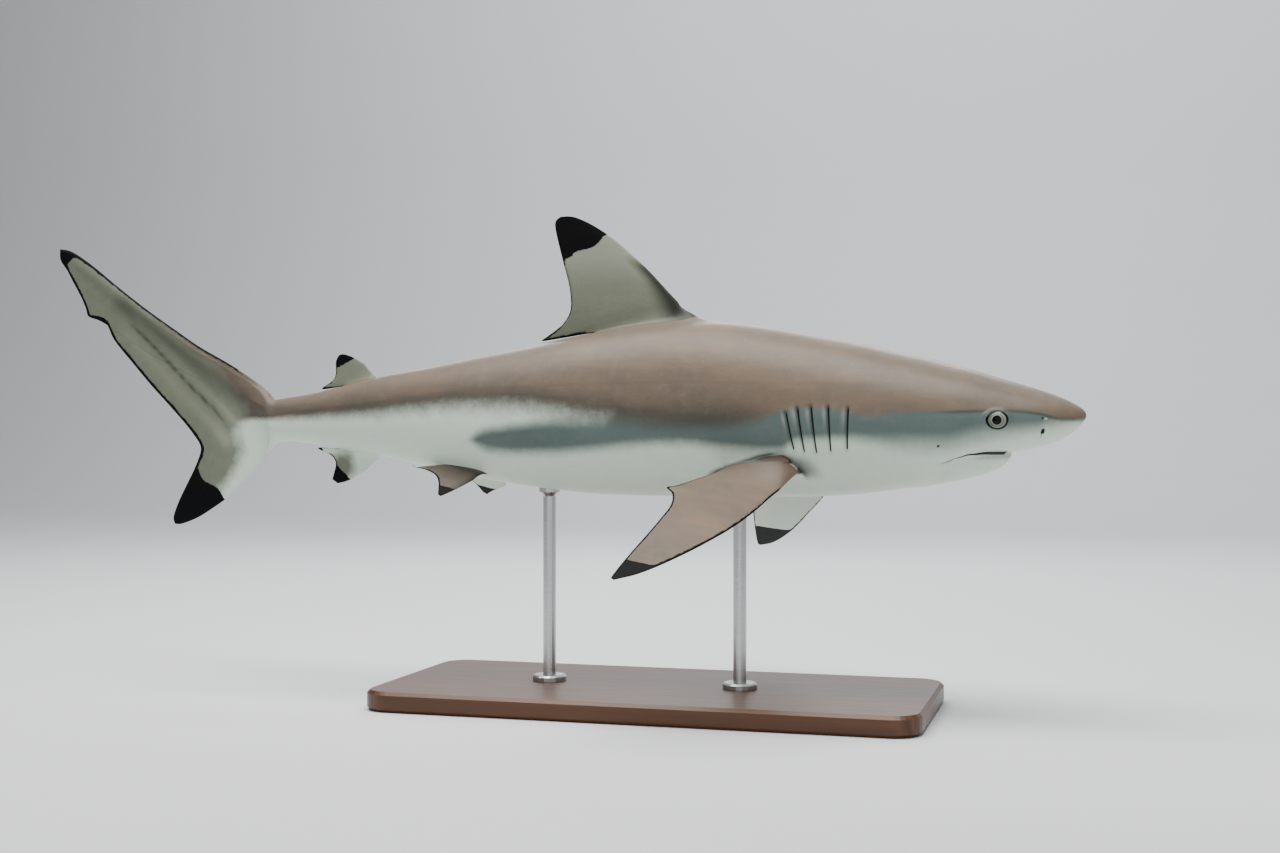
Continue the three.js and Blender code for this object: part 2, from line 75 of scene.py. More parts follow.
class Curve:
    """A monotone cubic through a few measured points."""

    def __init__(self, points: Sequence[tuple[float, float]]) -> None:
        """Works out the slopes once.

        Args:
            points: (x, y) pairs in rising x.
        """
        self.x = np.array([p[0] for p in points], float)
        self.y = np.array([p[1] for p in points], float)
        step, rise = np.diff(self.x), np.diff(self.y) / np.diff(self.x)
        slope = np.empty(len(self.x))
        slope[0], slope[-1] = rise[0], rise[-1]
        for i in range(1, len(self.x) - 1):
            if rise[i - 1] * rise[i] <= 0:
                slope[i] = 0
                continue
            a, b = 2 * step[i] + step[i - 1], step[i] + 2 * step[i - 1]
            slope[i] = (a + b) / (a / rise[i - 1] + b / rise[i])
        self.slope, self.step = slope, step

    def __call__(self, x: Array | float) -> Array:
        """Values at x, held level beyond the ends.

        Args:
            x: Where to read the curve.

        Returns:
            The curve's values, in x's shape.
        """
        x = np.clip(np.asarray(x, float), self.x[0], self.x[-1])
        i = np.clip(np.searchsorted(self.x, x) - 1, 0, len(self.x) - 2)
        h = self.step[i]
        t = (x - self.x[i]) / h
        t2, t3 = t * t, t ** 3
        return (self.y[i] * (2 * t3 - 3 * t2 + 1) + self.slope[i] * h * (t3 - 2 * t2 + t)
                + self.y[i + 1] * (3 * t2 - 2 * t3) + self.slope[i + 1] * h * (t3 - t2))


class Outline:
    """A centripetal Catmull-Rom line through points of the median plane, as (back, height) in mm."""

    def __init__(self, points: Sequence[tuple[float, float]]) -> None:
        """Keeps the points.

        Args:
            points: The line's points in order.
        """
        p = np.array(points, float)
        self.points = np.vstack([2 * p[0] - p[1], p, 2 * p[-1] - p[-2]])
        self.count = len(p)

    def __call__(self, t: Array) -> Array:
        """Points at t from 0 to 1.

        Args:
            t: Where along the line.

        Returns:
            Points with the last axis (back, height).
        """
        x = np.clip(np.asarray(t, float), 0, 1) * (self.count - 1)
        i = np.minimum(x.astype(int), self.count - 2)
        w = (x - i)[..., None]
        p0, p1, p2, p3 = (self.points[i + k] for k in range(4))
        d0, d1, d2 = (np.sqrt(np.linalg.norm(b - a, axis=-1))[..., None]
                      for a, b in ((p0, p1), (p1, p2), (p2, p3)))
        a = ((p1 - p0) / d0 - (p2 - p0) / (d0 + d1) + (p2 - p1) / d1) * d1
        b = ((p2 - p1) / d1 - (p3 - p1) / (d1 + d2) + (p3 - p2) / d2) * d1
        return p1 + a * w + (-3 * p1 + 3 * p2 - 2 * a - b) * w ** 2 + (2 * p1 - 2 * p2 + a + b) * w ** 3


def reach(points: Array, line: Array) -> Array:
    """Shortest distance from points to a sampled line.

    Args:
        points: (n, 2) points.
        line: (m, 2) samples.

    Returns:
        n distances.
    """
    out = np.full(len(points), 1e9)
    a, b = line[:-1], line[1:]
    ab = b - a
    size = np.maximum((ab ** 2).sum(1), 1e-9)
    for k in range(0, len(points), 2000):
        p = points[k:k + 2000, None, :]
        t = np.clip(((p - a) * ab).sum(-1) / size, 0, 1)
        out[k:k + 2000] = np.sqrt((((p - a - t[..., None] * ab)) ** 2).sum(-1)).min(1)
    return out


def beyond(points: Array, a: tuple[float, float], b: tuple[float, float],
           tip: tuple[float, float]) -> Array:
    """Signed distance past the straight line a-b, positive on the tip's side.

    Args:
        points: (n, 2) points.
        a: One point of the line.
        b: Another point of the line.
        tip: A point on the positive side.

    Returns:
        n signed distances.
    """
    along = np.array(b, float) - a
    normal = np.array([-along[1], along[0]]) / np.hypot(*along)
    if (np.array(tip, float) - a) @ normal < 0:
        normal = -normal
    return (points - np.array(a, float)) @ normal


# ------------------------------------------------------------------ the body's form

@dataclass(frozen=True)
class BodyForm:
    """The body's cross-sections along its length, in mm."""

    stations: tuple[tuple[float, ...], ...] = (
        # back, top, bottom, half width, widest height, roundness above, roundness below
        (0, -2.8, -2.8, 0, -2.8, 2, 2), (3, 3.6, -9.5, 12.5, -4, 2, 2),
        (12.6, 10.2, -20.3, 26.5, -7, 2, 2.1), (29, 18.2, -30.5, 41, -10, 2, 2.2),
        (51, 26.3, -38.5, 52, -12.5, 2, 2.6), (84, 36.7, -45, 61.5, -14, 2, 2.9),
        (107, 43.8, -48.5, 67, -14, 2, 3), (129, 50.9, -53.5, 72, -13, 2, 3),
        (150, 56.5, -61.5, 76, -12, 2, 2.9), (167, 61.3, -73, 78.5, -11, 2, 2.6),
        (188, 66.5, -84.2, 80.5, -10, 2, 2.4), (209.5, 71.4, -87.9, 82, -9, 2, 2.25),
        (256, 82.5, -94.2, 84, -7, 2, 2.2), (303, 91.4, -97.2, 84.5, -5, 2, 2.2),
        (351, 100.4, -98.7, 84, -3, 2, 2.2), (424, 109.6, -99.3, 83, -1, 2, 2.2),
        (475, 111, -99.2, 81.5, 0, 2, 2.2), (520, 107.5, -98.9, 79.5, 0, 2, 2.2),
        (575, 101, -97.6, 76, -1, 2, 2.15), (626, 91.5, -93.4, 71, -2, 2, 2.1),
        (679, 81.3, -87.3, 64, -3, 2, 2.1), (732, 72.5, -78.9, 56, -3, 2, 2.1),
        (786, 62.1, -67.8, 47, -2.5, 2, 2.05), (854, 50.8, -54.3, 36, -2, 2, 2),
        (910, 38.4, -45.2, 28, -3, 2, 2), (966, 26.6, -36.7, 22.5, -5, 2, 2),
        (995, 22.6, -34, 20.5, -6, 2, 2), (1016, 20.2, -36.2, 19.5, -8, 2, 2),
    )
    jaw: tuple[tuple[float, float], ...] = (
        (83, -50.5), (86, -56), (90, -59.4), (96, -62.9), (107, -67.6), (118, -71.1), (129, -74.6),
        (141, -77.2), (163, -81.9), (186, -85.4), (198, -86.4),
    )
    tail_root: float = 1016.0

    def column(self, k: int) -> Callable[[Array], Array]:
        """One column of the stations as a curve along the body.

        Args:
            k: Which column.

        Returns:
            A function of the distance back.
        """
        curve = Curve([(math.sqrt(row[0]), row[k]) for row in self.stations])
        return lambda back: curve(np.sqrt(np.maximum(back, 0)))

    def __post_init__(self) -> None:
        """Makes the curves once."""
        names = ("top", "bottom", "half", "mid", "round_top", "round_foot")
        for k, name in enumerate(names, 1):
            object.__setattr__(self, name, self.column(k))
        object.__setattr__(self, "jaw_line", Curve(self.jaw))

    def point(self, back: Array, angle: Array) -> Array:
        """Points on the skin.

        Args:
            back: Distance back from the snout.
            angle: Angle round the section from the top, toward the right side.

        Returns:
            Points (x, y, z) in mm, z from the snout tip's height.
        """
        c, s = np.cos(angle), np.sin(angle)
        up, mid = c >= 0, self.mid(back)
        tall = np.maximum(np.where(up, self.top(back) - mid, mid - self.bottom(back)), 1e-4)
        n = np.where(up, self.round_top(back), self.round_foot(back))
        half = np.maximum(self.half(back), 1e-4)
        r = (np.abs(c / tall) ** n + np.abs(s / half) ** n) ** (-1 / n)
        return np.stack([SNOUT_X - back, -r * s, mid + r * c], -1)

    def side(self, back: Array, height: Array) -> Array:
        """Half width at a height.

        Args:
            back: Distance back from the snout.
            height: Height from the snout tip.

        Returns:
            The half width there.
        """
        mid = self.mid(back)
        up = height >= mid
        tall = np.where(up, self.top(back) - mid, mid - self.bottom(back))
        n = np.where(up, self.round_top(back), self.round_foot(back))
        r = np.minimum(np.abs(height - mid) / np.maximum(tall, 1e-6), 1)
        return self.half(back) * (1 - r ** n) ** (1 / n)

    def angle_at(self, back: Array, height: Array) -> Array:
        """Section angle of the right side at a height.

        Args:
            back: Distance back from the snout.
            height: Height from the snout tip.

        Returns:
            The angle from the top.
        """
        return np.arctan2(self.side(back, height), height - self.mid(back))


@dataclass(frozen=True)
class Markings:
    """Borders of the colours along the body, as (back, height) in mm."""

    brown: tuple[tuple[float, float], ...] = (
        (7, -7), (22, -7), (30, -6), (47, -1), (70, 2), (92, 3), (134, 2), (183, 1), (208, 0),
        (222, -3), (238, -3), (255, 1), (289, 6), (320, 5), (342, 0), (366, -9), (408, -15),
        (450, -16), (500, -12), (537, -7), (576, -2), (608, 2), (671, 7), (736, 8), (793, 5),
        (858, 0), (910, -3), (969, -5), (1024, -7),
    )
    brown_soft: tuple[tuple[float, float], ...] = (
        (150, 1.6), (195, 2.4), (215, 5), (245, 5), (290, 3), (350, 7), (400, 11),
        (520, 16), (680, 17), (800, 14), (900, 10), (1016, 6),
    )
    # The flank band above this border is darker and cooler than the back: partly the skin's own colour,
    # partly painted shade of the side turned from the top light.
    slate: tuple[tuple[float, float], ...] = (
        (12, -8), (20, -9), (36, -13), (52, -17), (72, -20), (99, -24), (126, -30), (153, -36),
        (183, -36), (222, -33), (255, -29), (278, -29), (318, -32), (336, -42), (366, -42),
        (408, -39), (451, -35), (490, -36), (537, -40), (580, -44), (626, -46.5), (661, -47),
        (684, -46), (700, -44), (712, -40), (721, -34), (730, -28), (760, -28),
    )
    slate_soft: tuple[tuple[float, float], ...] = (
        (0, 8), (60, 11), (110, 18), (190, 17), (240, 10), (310, 8), (480, 9.5), (700, 9),
    )
    tongue: tuple[tuple[float, float], ...] = (
        (540, -3), (590, -5), (626, -9), (661, -13.5), (684, -16.5), (699, -18.5), (712, -22.5),
        (721, -30), (730, -38), (760, -50),
    )
    shoulder: tuple[tuple[float, float], ...] = (
        (309, -76), (312.4, -69), (317, -64.5), (322, -59), (328, -52), (333.5, -49), (345, -50),
        (363, -53.5), (382, -59.5), (410, -69.5), (430, -77),
    )


@dataclass(frozen=True)
class Slit:
    """One gill slit: its middle, how far its top leans back, and its heights."""

    back: float
    lean: float
    high: float
    low: float


SLITS = (Slit(257.75, -0.95, 4.9, -41.7), Slit(278.25, 0.95, 6.7, -44.2), Slit(296.2, 2.4, 6.8, -45.7),
         Slit(310.9, 3.3, 5.9, -44.8), Slit(323.8, 4.6, 0.3, -41.9))


@dataclass(frozen=True)
class Pore:
    """One pore of the head: its place, its radius and how deep it is, in mm."""

    back: float
    high: float
    radius: float
    deep: float


PORES = (Pore(45.9, -6.0, 1.2, 0.8), Pore(41.2, -4.6, 0.8, 0.5), Pore(158, -37.3, 1.4, 0.8),
         Pore(63, -30, 0.8, 0.3), Pore(70, -35, 0.8, 0.3), Pore(58, -23, 0.7, 0.3), Pore(36, -18, 0.7, 0.25))


# ------------------------------------------------------------------ fins

def ribs_at(ribs: Sequence[Sequence[float]], x: Array) -> Array:
    """Values between a fin's ribs.

    Args:
        ribs: Rows of (front c, front h, rear c, rear h, thickness).
        x: Place in rib numbers.

    Returns:
        Interpolated rows.
    """
    rows = np.array(ribs, float)
    x = np.asarray(x, float)
    i = np.clip(x.astype(int), 0, len(rows) - 2)
    f = (x - i)[..., None]
    p, q, r, s = (rows[np.clip(i + k, 0, len(rows) - 1)] for k in (-1, 0, 1, 2))
    return 0.5 * (2 * q + (r - p) * f + (2 * p - 5 * q + 4 * r - s) * f * f
                  + (3 * q - p - 3 * r + s) * f ** 3)


def bowed(ribs: Sequence[Sequence[float]], amount: float, middle: float,
          width: float) -> tuple[tuple[float, ...], ...]:
    """The ribs with their leading edge bowed forward round one place along the span.

    Args:
        ribs: The fin's ribs.
        amount: How far, mm.
        middle: The place along the span.
        width: How far along the span the bow reaches.

    Returns:
        The bowed ribs.
    """
    return tuple((c - amount * math.exp(-((w - middle) / width) ** 2), w, *rest) for c, w, *rest in ribs)


class Upright:
    """Puts a fin in the median plane."""

    def __call__(self, c: Array, h: Array, n: Array) -> Array:
        """Points from chord, height and thickness."""
        return np.stack(np.broadcast_arrays(SNOUT_X - c, n, h), -1)


@dataclass(frozen=True)
class Held:
    """Puts a paired fin where its root is, drooped and tilted."""

    back: float
    side: float
    height: float
    droop: float
    tilt: float
    left: bool
    swing: float = 0.0
    settle: float = 0.0

    def __call__(self, c: Array, w: Array, n: Array) -> Array:
        """Points of the fin.

        Args:
            c: Place along the chord, backward.
            w: Place along the span, outward.
            n: Height above the fin's middle plane.

        Returns:
            Points (x, y, z) in mm.
        """
        hand = 1.0 if self.left else -1.0
        d, t = math.radians(self.droop), math.radians(self.tilt)
        chord = np.array([-math.cos(t), 0, math.sin(t)])
        span = np.array([0, hand * math.cos(d), -math.sin(d)])
        up = np.cross(chord, span)
        up *= math.copysign(1 / np.linalg.norm(up), up[2])
        a = math.radians(-self.swing) * hand
        k = np.array([[0, -up[2], up[1]], [up[2], 0, -up[0]], [-up[1], up[0], 0]])
        turn = np.eye(3) + math.sin(a) * k + (1 - math.cos(a)) * k @ k
        c, w, n = np.broadcast_arrays(np.asarray(c, float), w, n)
        p = (c[..., None] * chord + w[..., None] * span + n[..., None] * up) @ turn.T
        p = p + np.array([SNOUT_X - self.back, hand * self.side, self.height])
        p[..., 2] -= self.settle * np.maximum(c, 0) / 85 * (1 - np.clip(w / 60, 0, 1)) ** 1.5
        return p


@dataclass
class Fin:
    """One fin, grown out of a slit in the body's grid."""

    name: str
    ribs: tuple[tuple[float, ...], ...]
    place: Callable[[Array, Array, Array], Array]
    column: int                 # grid column of the slit
    rows: tuple[float, float]   # where along the body the slit starts and ends
    start: float                # rib number of the first ring that is all fin
    rings: int
    low_is_plus: bool           # the grid's lower-numbered side is the fin's plus side
    open_low: Callable[[Array], Array]
    open_high: Callable[[Array], Array]
    fillet: int = 4

    def surface(self, x: Array, chord: Array, side: float) -> Array:
        """Points of one face of the fin.

        Args:
            x: Place in rib numbers.
            chord: 0 at the front edge, 1 at the rear.
            side: +1 or -1 for the face, 0 for the middle plane.

        Returns:
            Points in mm.
        """
        row = ribs_at(self.ribs, x)
        c0, h0, c1, h1, thick = np.moveaxis(row, -1, 0)
        full = 1.95 * np.sqrt(chord) * (1 - chord) ** 1.15
        half = np.maximum(thick / 2 * full, 0.5 * np.minimum(1, np.minimum(chord, 1 - chord) * 40))
        return self.place(blend(c0, c1, chord), blend(h0, h1, chord), side * half)

    def plane(self, x: Array, chord: Array) -> Array:
        """The same places as flat (chord, span) coordinates."""
        c0, h0, c1, h1, _ = np.moveaxis(ribs_at(self.ribs, x), -1, 0)
        return np.stack([blend(c0, c1, chord), blend(h0, h1, chord)], -1)

    def edges(self) -> tuple[Array, Array]:
        """Sampled front and rear edges in flat coordinates."""
        x = np.linspace(0, len(self.ribs) - 1, 160)
        row = ribs_at(self.ribs, x)
        return row[:, 0:2], row[:, 2:4]


FIRST_DORSAL = (
    (440, 84, 560, 80, 20), (449, 117, 583, 97.5, 17), (461, 123.5, 630, 92.5, 14.5),
    (472, 131, 651, 90, 12.5), (484, 143, 642, 96.5, 11), (497, 157, 622, 111.5, 9.5),
    (513, 174, 612.5, 130, 8), (531, 191, 614.5, 157, 6.5), (552, 209.5, 622, 186, 5),
    (573, 224.5, 629, 213, 3.8), (590, 234.5, 632.5, 229, 2.8), (606, 241.5, 632, 238, 2),
    (617, 243.5, 626, 243, 1.4),
)
SECOND_DORSAL = (
    (862, 30, 915, 22, 7), (870, 52, 921, 34, 6), (877, 57, 950, 31.5, 5), (886, 62.5, 947, 35.5, 4.2),
    (895, 68, 934, 43.5, 3.4), (904, 72.5, 929.5, 53, 2.6), (913, 76, 929.5, 68, 1.9),
    (920, 77.5, 925, 76.5, 1.3),
)
ANAL = (
    (854, -34, 915, -28, 7), (862, -54.5, 921, -42, 6), (870, -59, 956, -41.5, 5),
    (880, -65, 951, -45.5, 4.2), (889, -71.5, 936, -52, 3.4), (901, -79, 929.5, -62, 2.7),
    (914, -85, 932, -74, 2), (927, -88, 934.5, -83, 1.3),
)
PECTORAL = (
    (-24, -26, 56, -26, 21), (-17, 0, 66, 2, 17), (-9, 24, 86, 46, 15), (-2, 42, 110, 80, 13),
    (7, 66, 122, 91, 11.5), (17, 97, 113, 101, 10.2), (30, 130, 109, 124, 9),
    (45, 161, 113, 152, 7.8), (68, 202, 119, 186, 6.2), (93, 241, 127, 226, 4.6),
    (112, 266, 132, 254, 3.2), (127, 280, 135, 273, 2.2), (133, 285, 136, 283, 1.5),
)
PELVIC = (
    (-14, -36, 62, -34, 13), (-8, -28, 72, -24, 11), (-2, -21, 90, -12.5, 9.5),
    (4, -13, 104.5, -2, 8), (10, -3, 100, 4, 6.8), (17, 8, 84, 4.5, 5.6), (25, 22, 68, 10, 4.4),
    (33, 35, 58.5, 21, 3.3), (40, 45, 53, 35, 2.4), (45, 51, 49, 48, 1.6),
)


@dataclass(frozen=True)
class TailForm:
    """The tail fin's outline and thickness, in mm."""

    top: tuple[tuple[float, float], ...] = (
        (1016, 20.2), (1025, 30.5), (1048, 46.5), (1084, 67.5), (1127, 90), (1161, 111.5), (1205, 140),
        (1250, 172), (1290, 202), (1322, 221), (1338, 224),
    )
    foot: tuple[tuple[float, float], ...] = (
        (1016, -36.2), (1022, -43.5), (1033, -57.5), (1048, -75), (1065, -91.5), (1087, -109.5),
        (1108, -123), (1128, -134.5), (1146, -141.5), (1156, -144), (1163, -143.5),
    )
    rear: tuple[tuple[float, float], ...] = (
        (1338, 224), (1337.5, 210), (1327, 195), (1317, 178), (1305, 158), (1298, 143), (1294, 132.5),
        (1269, 125), (1255, 101), (1227, 70), (1197, 38), (1167, 8.6), (1137, -23), (1123.5, -44),
        (1131, -66), (1144, -90), (1157, -114), (1165, -136), (1163, -143.5),
    )
    axis: tuple[tuple[float, float], ...] = (
        (1016, -4), (1050, 18), (1100, 50), (1160, 92), (1220, 136), (1280, 181), (1326, 213),
    )
    fork: float = 13 / 18
    split: float = 0.64

    def share(self, v: Array) -> Array:
        """Share of the root's height above v."""
        return np.where(v < self.fork, v / self.fork * self.split,
                        self.split + (v - self.fork) / (1 - self.fork) * (1 - self.split))

    def from_share(self, share: Array) -> Array:
        """The v that has this share of the root's height above it."""
        return np.where(share < self.split, share / self.split * self.fork,
                        self.fork + (share - self.split) / (1 - self.split) * (1 - self.fork))

    def point(self, u: Array, v: Array) -> Array:
        """Points of the middle plane.

        Args:
            u: 0 at the root, 1 at the rear margin.
            v: 0 along the upper margin, 1 along the lower.

        Returns:
            Points as (back, height).
        """
        top, foot, rear = Outline(self.top), Outline(self.foot), Outline(self.rear)
        w, uu = self.share(v)[..., None], u[..., None]
        root = blend(np.array(self.top[0], float), np.array(self.foot[0], float), w)
        corners = (np.array(self.top[0]) * (1 - uu) * (1 - w) + np.array(self.foot[0]) * (1 - uu) * w
                   + np.array(self.top[-1]) * uu * (1 - w) + np.array(self.foot[-1]) * uu * w)
        return top(u) * (1 - w) + foot(u) * w + root * (1 - uu) + rear(v) * uu - corners

    def half(self, body: BodyForm, u: Array, v: Array, flat: Array) -> Array:
        """Half thickness: the stalk's section at the root, then a ridge along the upper lobe.

        Args:
            body: The body, for the stalk's section.
            u: 0 at the root, 1 at the rear margin.
            v: 0 along the upper margin, 1 along the lower.
            flat: The same points as (back, height).

        Returns:
            Half thicknesses, at least 0.5 mm.
        """
        root = blend(self.top[0][1], self.foot[0][1], self.share(v))
        stalk = body.side(np.full_like(root, body.tail_root), root)
        t = np.linspace(0, 1, 200)
        upper, lower = reach(flat, Outline(self.top)(t)), reach(flat, Outline(self.foot)(t))
        axis = reach(flat, Outline(self.axis)(t))
        ridge = blend(17, 1.2, np.minimum(u * 1.02, 1) ** 0.42) * np.exp(-(axis / blend(24, 7, u)) ** 2)
        web = blend(2.6, 0.7, u) * np.sqrt(np.minimum(np.minimum(upper, lower) / 9, 1))
        ridge = ridge * np.minimum(1, upper / 6)
        thin = 0.5 * (ridge + web + np.sqrt((ridge - web) ** 2 + 1.5 * np.minimum(web, 1)))
        return np.maximum(blend(stalk, np.maximum(thin, 0.5), smooth(u, 0, 0.24)), 0.5)


# ------------------------------------------------------------------ one grid for the whole skin

MASKS = ("brown", "brown_soft", "slate", "soft", "web", "ink", "dusk", "furrow", "shade", "inner", "lip",
         "gape", "fold", "fold_at", "seam", "seam_at")
FAR = 30.0      # distance, mm, that a mask holds where its border is out of reach
ABSENT = -9.0   # distance, mm, of a black edge that isn't drawn at all


class Grid:
    """Vertices, faces, texture places and masks, gathered patch by patch."""

    def __init__(self) -> None:
        """Starts empty."""
        self.points: list[Array] = []
        self.masks: dict[str, list[Array]] = {m: [] for m in MASKS}
        self.faces: list[Array] = []
        self.places: list[Array] = []
        self.count = 0
        self.patch = 0

    def add(self, points: Array, masks: dict[str, Array]) -> Array:
        """Adds vertices.

        Args:
            points: (n, 3) points in mm.
            masks: One array of n for each mask name; a name left out is 0.

        Returns:
            Their numbers.
        """
        n = len(points)
        self.points.append(np.asarray(points, float))
        for m in MASKS:
            self.masks[m].append(np.broadcast_to(np.asarray(masks.get(m, 0.0), float), (n,)))
        self.count += n
        return np.arange(self.count - n, self.count)

    def strip(self, ids: Array, flat: Array) -> None:
        """Adds the faces of a patch of quads.

        Args:
            ids: (rows, columns) vertex numbers.
            flat: (rows, columns, 2) places in mm for the texture map.
        """
        corners = ((0, 0), (0, 1), (1, 1), (1, 0))
        r, c = ids.shape
        quads = np.stack([ids[a:r - 1 + a, b:c - 1 + b].ravel() for a, b in corners], 1)
        uv = np.stack([flat[a:r - 1 + a, b:c - 1 + b].reshape(-1, 2) for a, b in corners], 1)
        self.faces.append(quads)
        self.places.append(np.concatenate([uv, np.full(uv.shape[:2] + (1,), float(self.patch))], 2))
        self.patch += 1

    def gathered(self) -> tuple[Array, Array, Array, dict[str, Array]]:
        """Everything in whole arrays."""
        return (np.concatenate(self.points), np.concatenate(self.faces), np.concatenate(self.places),
                {m: np.concatenate(v) for m, v in self.masks.items()})


def packed(places: Array, gap: float = 6.0) -> Array:
    """Lays the patches out on one square.

    Args:
        places: (faces, 4, 3) corners as (u, v, patch) in mm.
        gap: Space between patches, mm.

    Returns:
        (faces, 4, 2) places from 0 to 1.
    """
    number = places[:, 0, 2].astype(int)
    boxes = []
    for k in range(number.max() + 1):
        own = places[number == k][:, :, :2].reshape(-1, 2)
        boxes.append((own.min(0), own.max(0)))
    order = sorted(range(len(boxes)), key=lambda k: -(boxes[k][1] - boxes[k][0])[1])
    width = max((hi - lo)[0] for lo, hi in boxes) + gap * 2
    x = y = gap
    shelf = 0.0
    spot = {}
    for k in order:
        size = boxes[k][1] - boxes[k][0]
        if x + size[0] + gap > width:
            x, y, shelf = gap, y + shelf + gap, 0.0
        spot[k] = (x, y)
        x += size[0] + gap
        shelf = max(shelf, size[1])
    out = np.empty(places.shape[:2] + (2,))
    for k, (lo, _) in enumerate(boxes):
        own = number == k
        out[own] = places[own][:, :, :2] - lo + np.array(spot[k])
    return out / max(width, y + shelf + gap)


@dataclass
class Skin:
    """The whole skin, one closed mesh from the snout to the tips of the tail."""

    form: BodyForm = field(default_factory=BodyForm)
    tail: TailForm = field(default_factory=TailForm)
    marks: Markings = field(default_factory=Markings)
    half_columns: int = 90
    eye_back: float = 94.6
    eye_height: float = -7.7
    eye_rim: float = 11.9
    eye_flat: float = 1.11
    eye_flat_top: float = 1.5
    mouth_front: float = 83.0
    mouth_corner: float = 146.0
    mouth_rear: float = 147.0     # where the crescent of the mouth is widest
    mouth_wide: float = 55.0      # half width of the crescent there
    jaw_end: float = 198.0

    def __post_init__(self) -> None:
        """Makes the fins and the grid's rows."""
        self.brown = Curve(self.marks.brown)
        self.slate = Curve(self.marks.slate)
        self.tongue = Curve(self.marks.tongue)
        self.brown_soft = Curve(self.marks.brown_soft)
        self.slate_soft = Curve(self.marks.slate_soft)
        self.shoulder = Curve(self.marks.shoulder)
        along = np.linspace(309, 430, 90)
        self.shoulder_line = np.stack([along, self.shoulder(along)], -1)
        arch = Curve(((315, 3), (321, 12), (334, 18.5), (350, 17), (362, 14), (384, 7), (400, 2)))
        under = Curve(((315, 2), (330, 9), (350, 11), (380, 7), (400, 2)))
        ridge = Curve(((446, 3), (462, 9), (490, 12), (530, 10), (570, 6.5), (585, 3)))
        small = Curve(((861, 1.4), (875, 5), (895, 4.6), (921, 1.4)))
        leg = Curve(((706, 2), (722, 7.5), (745, 7.5), (775, 2)))
        self.fins = [
            Fin("first_dorsal_fin", FIRST_DORSAL, Upright(), 0, (446, 585), 1.5, 38, True, ridge, ridge),
            Fin("second_dorsal_fin", SECOND_DORSAL, Upright(), 0, (868, 921), 1.6, 22, True, small, small),
            Fin("anal_fin", ANAL, Upright(), 90, (861, 921), 1.6, 22, False, small, small),
            Fin("pectoral_fin_right", PECTORAL, Held(333, 61, -66, 28, 12, False, settle=12), 65,
                (315, 400), 1.75, 48, True, arch, under),
            Fin("pectoral_fin_left", bowed(PECTORAL, 12, 60, 45),
                Held(327, 61, -66, 31, 18, True, 3, 12), 115, (315, 400), 1.75, 48, False, under, arch),
            Fin("pelvic_fin_right", PELVIC, Held(708, 36, -80, 32, 10, False), 79,
                (706, 775), 3.2, 24, True, leg, leg),
            Fin("pelvic_fin_left", bowed(PELVIC, 15, 18, 16), Held(708, 36, -80, 37, 10, True), 101,
                (706, 775), 3.2, 24, False, leg, leg),
        ]
        spans = ((0, 36, 20), (36, 54, 14), (54, 80, 15), (80, 150, 84), (150, 245, 36),
                 (245, 257.75, 10), (257.75, 278.25, 16), (278.25, 296.2, 14), (296.2, 310.9, 12),
                 (310.9, 315, 4), (315, 323.8, 7), (323.8, 335, 8), (335, 400, 24), (400, 446, 11),
                 (446, 585, 34), (585, 706, 22), (706, 775, 20), (775, 861, 16), (861, 868, 3),
                 (868, 921, 18), (921, 1016, 22))
        rows = [np.array([0.0])]
        for a, b, n in spans:
            t = np.arange(1, n + 1) / n
            rows.append(a + (b - a) * (t ** 1.8 if a == 0 else t))
        self.rows = np.concatenate(rows)

    def row(self, back: float) -> int:
        """The grid row nearest to a place."""
        return int(np.abs(self.rows - back).argmin())

    # -------------------------------------------------------------- where the grid's columns run

    def half_angles(self) -> Array:
        """Section angles of the right half's columns on every row.

        Returns:
            (rows, half_columns + 1) angles from the top to the bottom.
        """
        line = np.clip(self.rows, 315, 400)
        arm = np.degrees(self.form.angle_at(line, -67.5 + (line - 315) * 0.07))
        head = 1 - smooth(self.rows, 165, 250)
        j = np.arange(self.half_columns + 1)
        out = np.empty((len(self.rows), len(j)))
        for i, h in enumerate(head):
            knots = ((0, 0), (17, blend(34, 58, h)), (65, blend(arm[i], 129, h)),
                     (79, blend(158, 155, h)), (90, 180))
            out[i] = Curve(knots)(j)
        return np.radians(out)

    def lean(self, back: Array, height: Array) -> Array:
        """How far the grid's rows lean back to run along the gill slits.

        Args:
            back: Distance back.
            height: Height from the snout tip.

        Returns:
            The shift back, mm.
        """
        much = Curve(((240, 0), (257.75, -0.95), (278.25, 0.95), (296.2, 2.4), (310.9, 3.3),
                      (323.8, 4.6), (352, 0)))
        along = np.clip((height + 19) / 24, -1, 1)
        fade = smooth(height, -64, -44) * (1 - smooth(height, 8, 46))
        return much(back) * along * fade

    def mouth_half(self, back: Array) -> Array:
        """Half width of the mouth's crescent."""
        lead = np.clip((self.mouth_rear - back) / (self.mouth_rear - self.mouth_front), 0, 1)
        wide = self.mouth_wide + 8 * smooth(back, self.mouth_rear, 200)
        return wide * np.sqrt(np.maximum(1 - lead ** 2, 0))

    def base(self) -> tuple[Array, Array, Array]:
        """The smooth body before its features.

        Returns:
            Points (rows, columns, 3), the grid's own distance back, and its angles.
        """
        half = self.half_angles()
        m = self.half_columns
        back = np.repeat(self.rows[:, None], m + 1, 1)
        flat = self.form.point(back, half)
        back = back + self.lean(back, flat[..., 2])
        half = self.snap_mouth(back, half)
        angle = np.concatenate([half, 2 * np.pi - half[:, m - 1:0:-1]], 1)
        back = np.concatenate([back, back[:, m - 1:0:-1]], 1)
        own = np.repeat(self.rows[:, None], 2 * m, 1)
        for fin in self.fins:
            angle = self.part_columns(fin, angle)
        return self.form.point(back, angle), own, angle

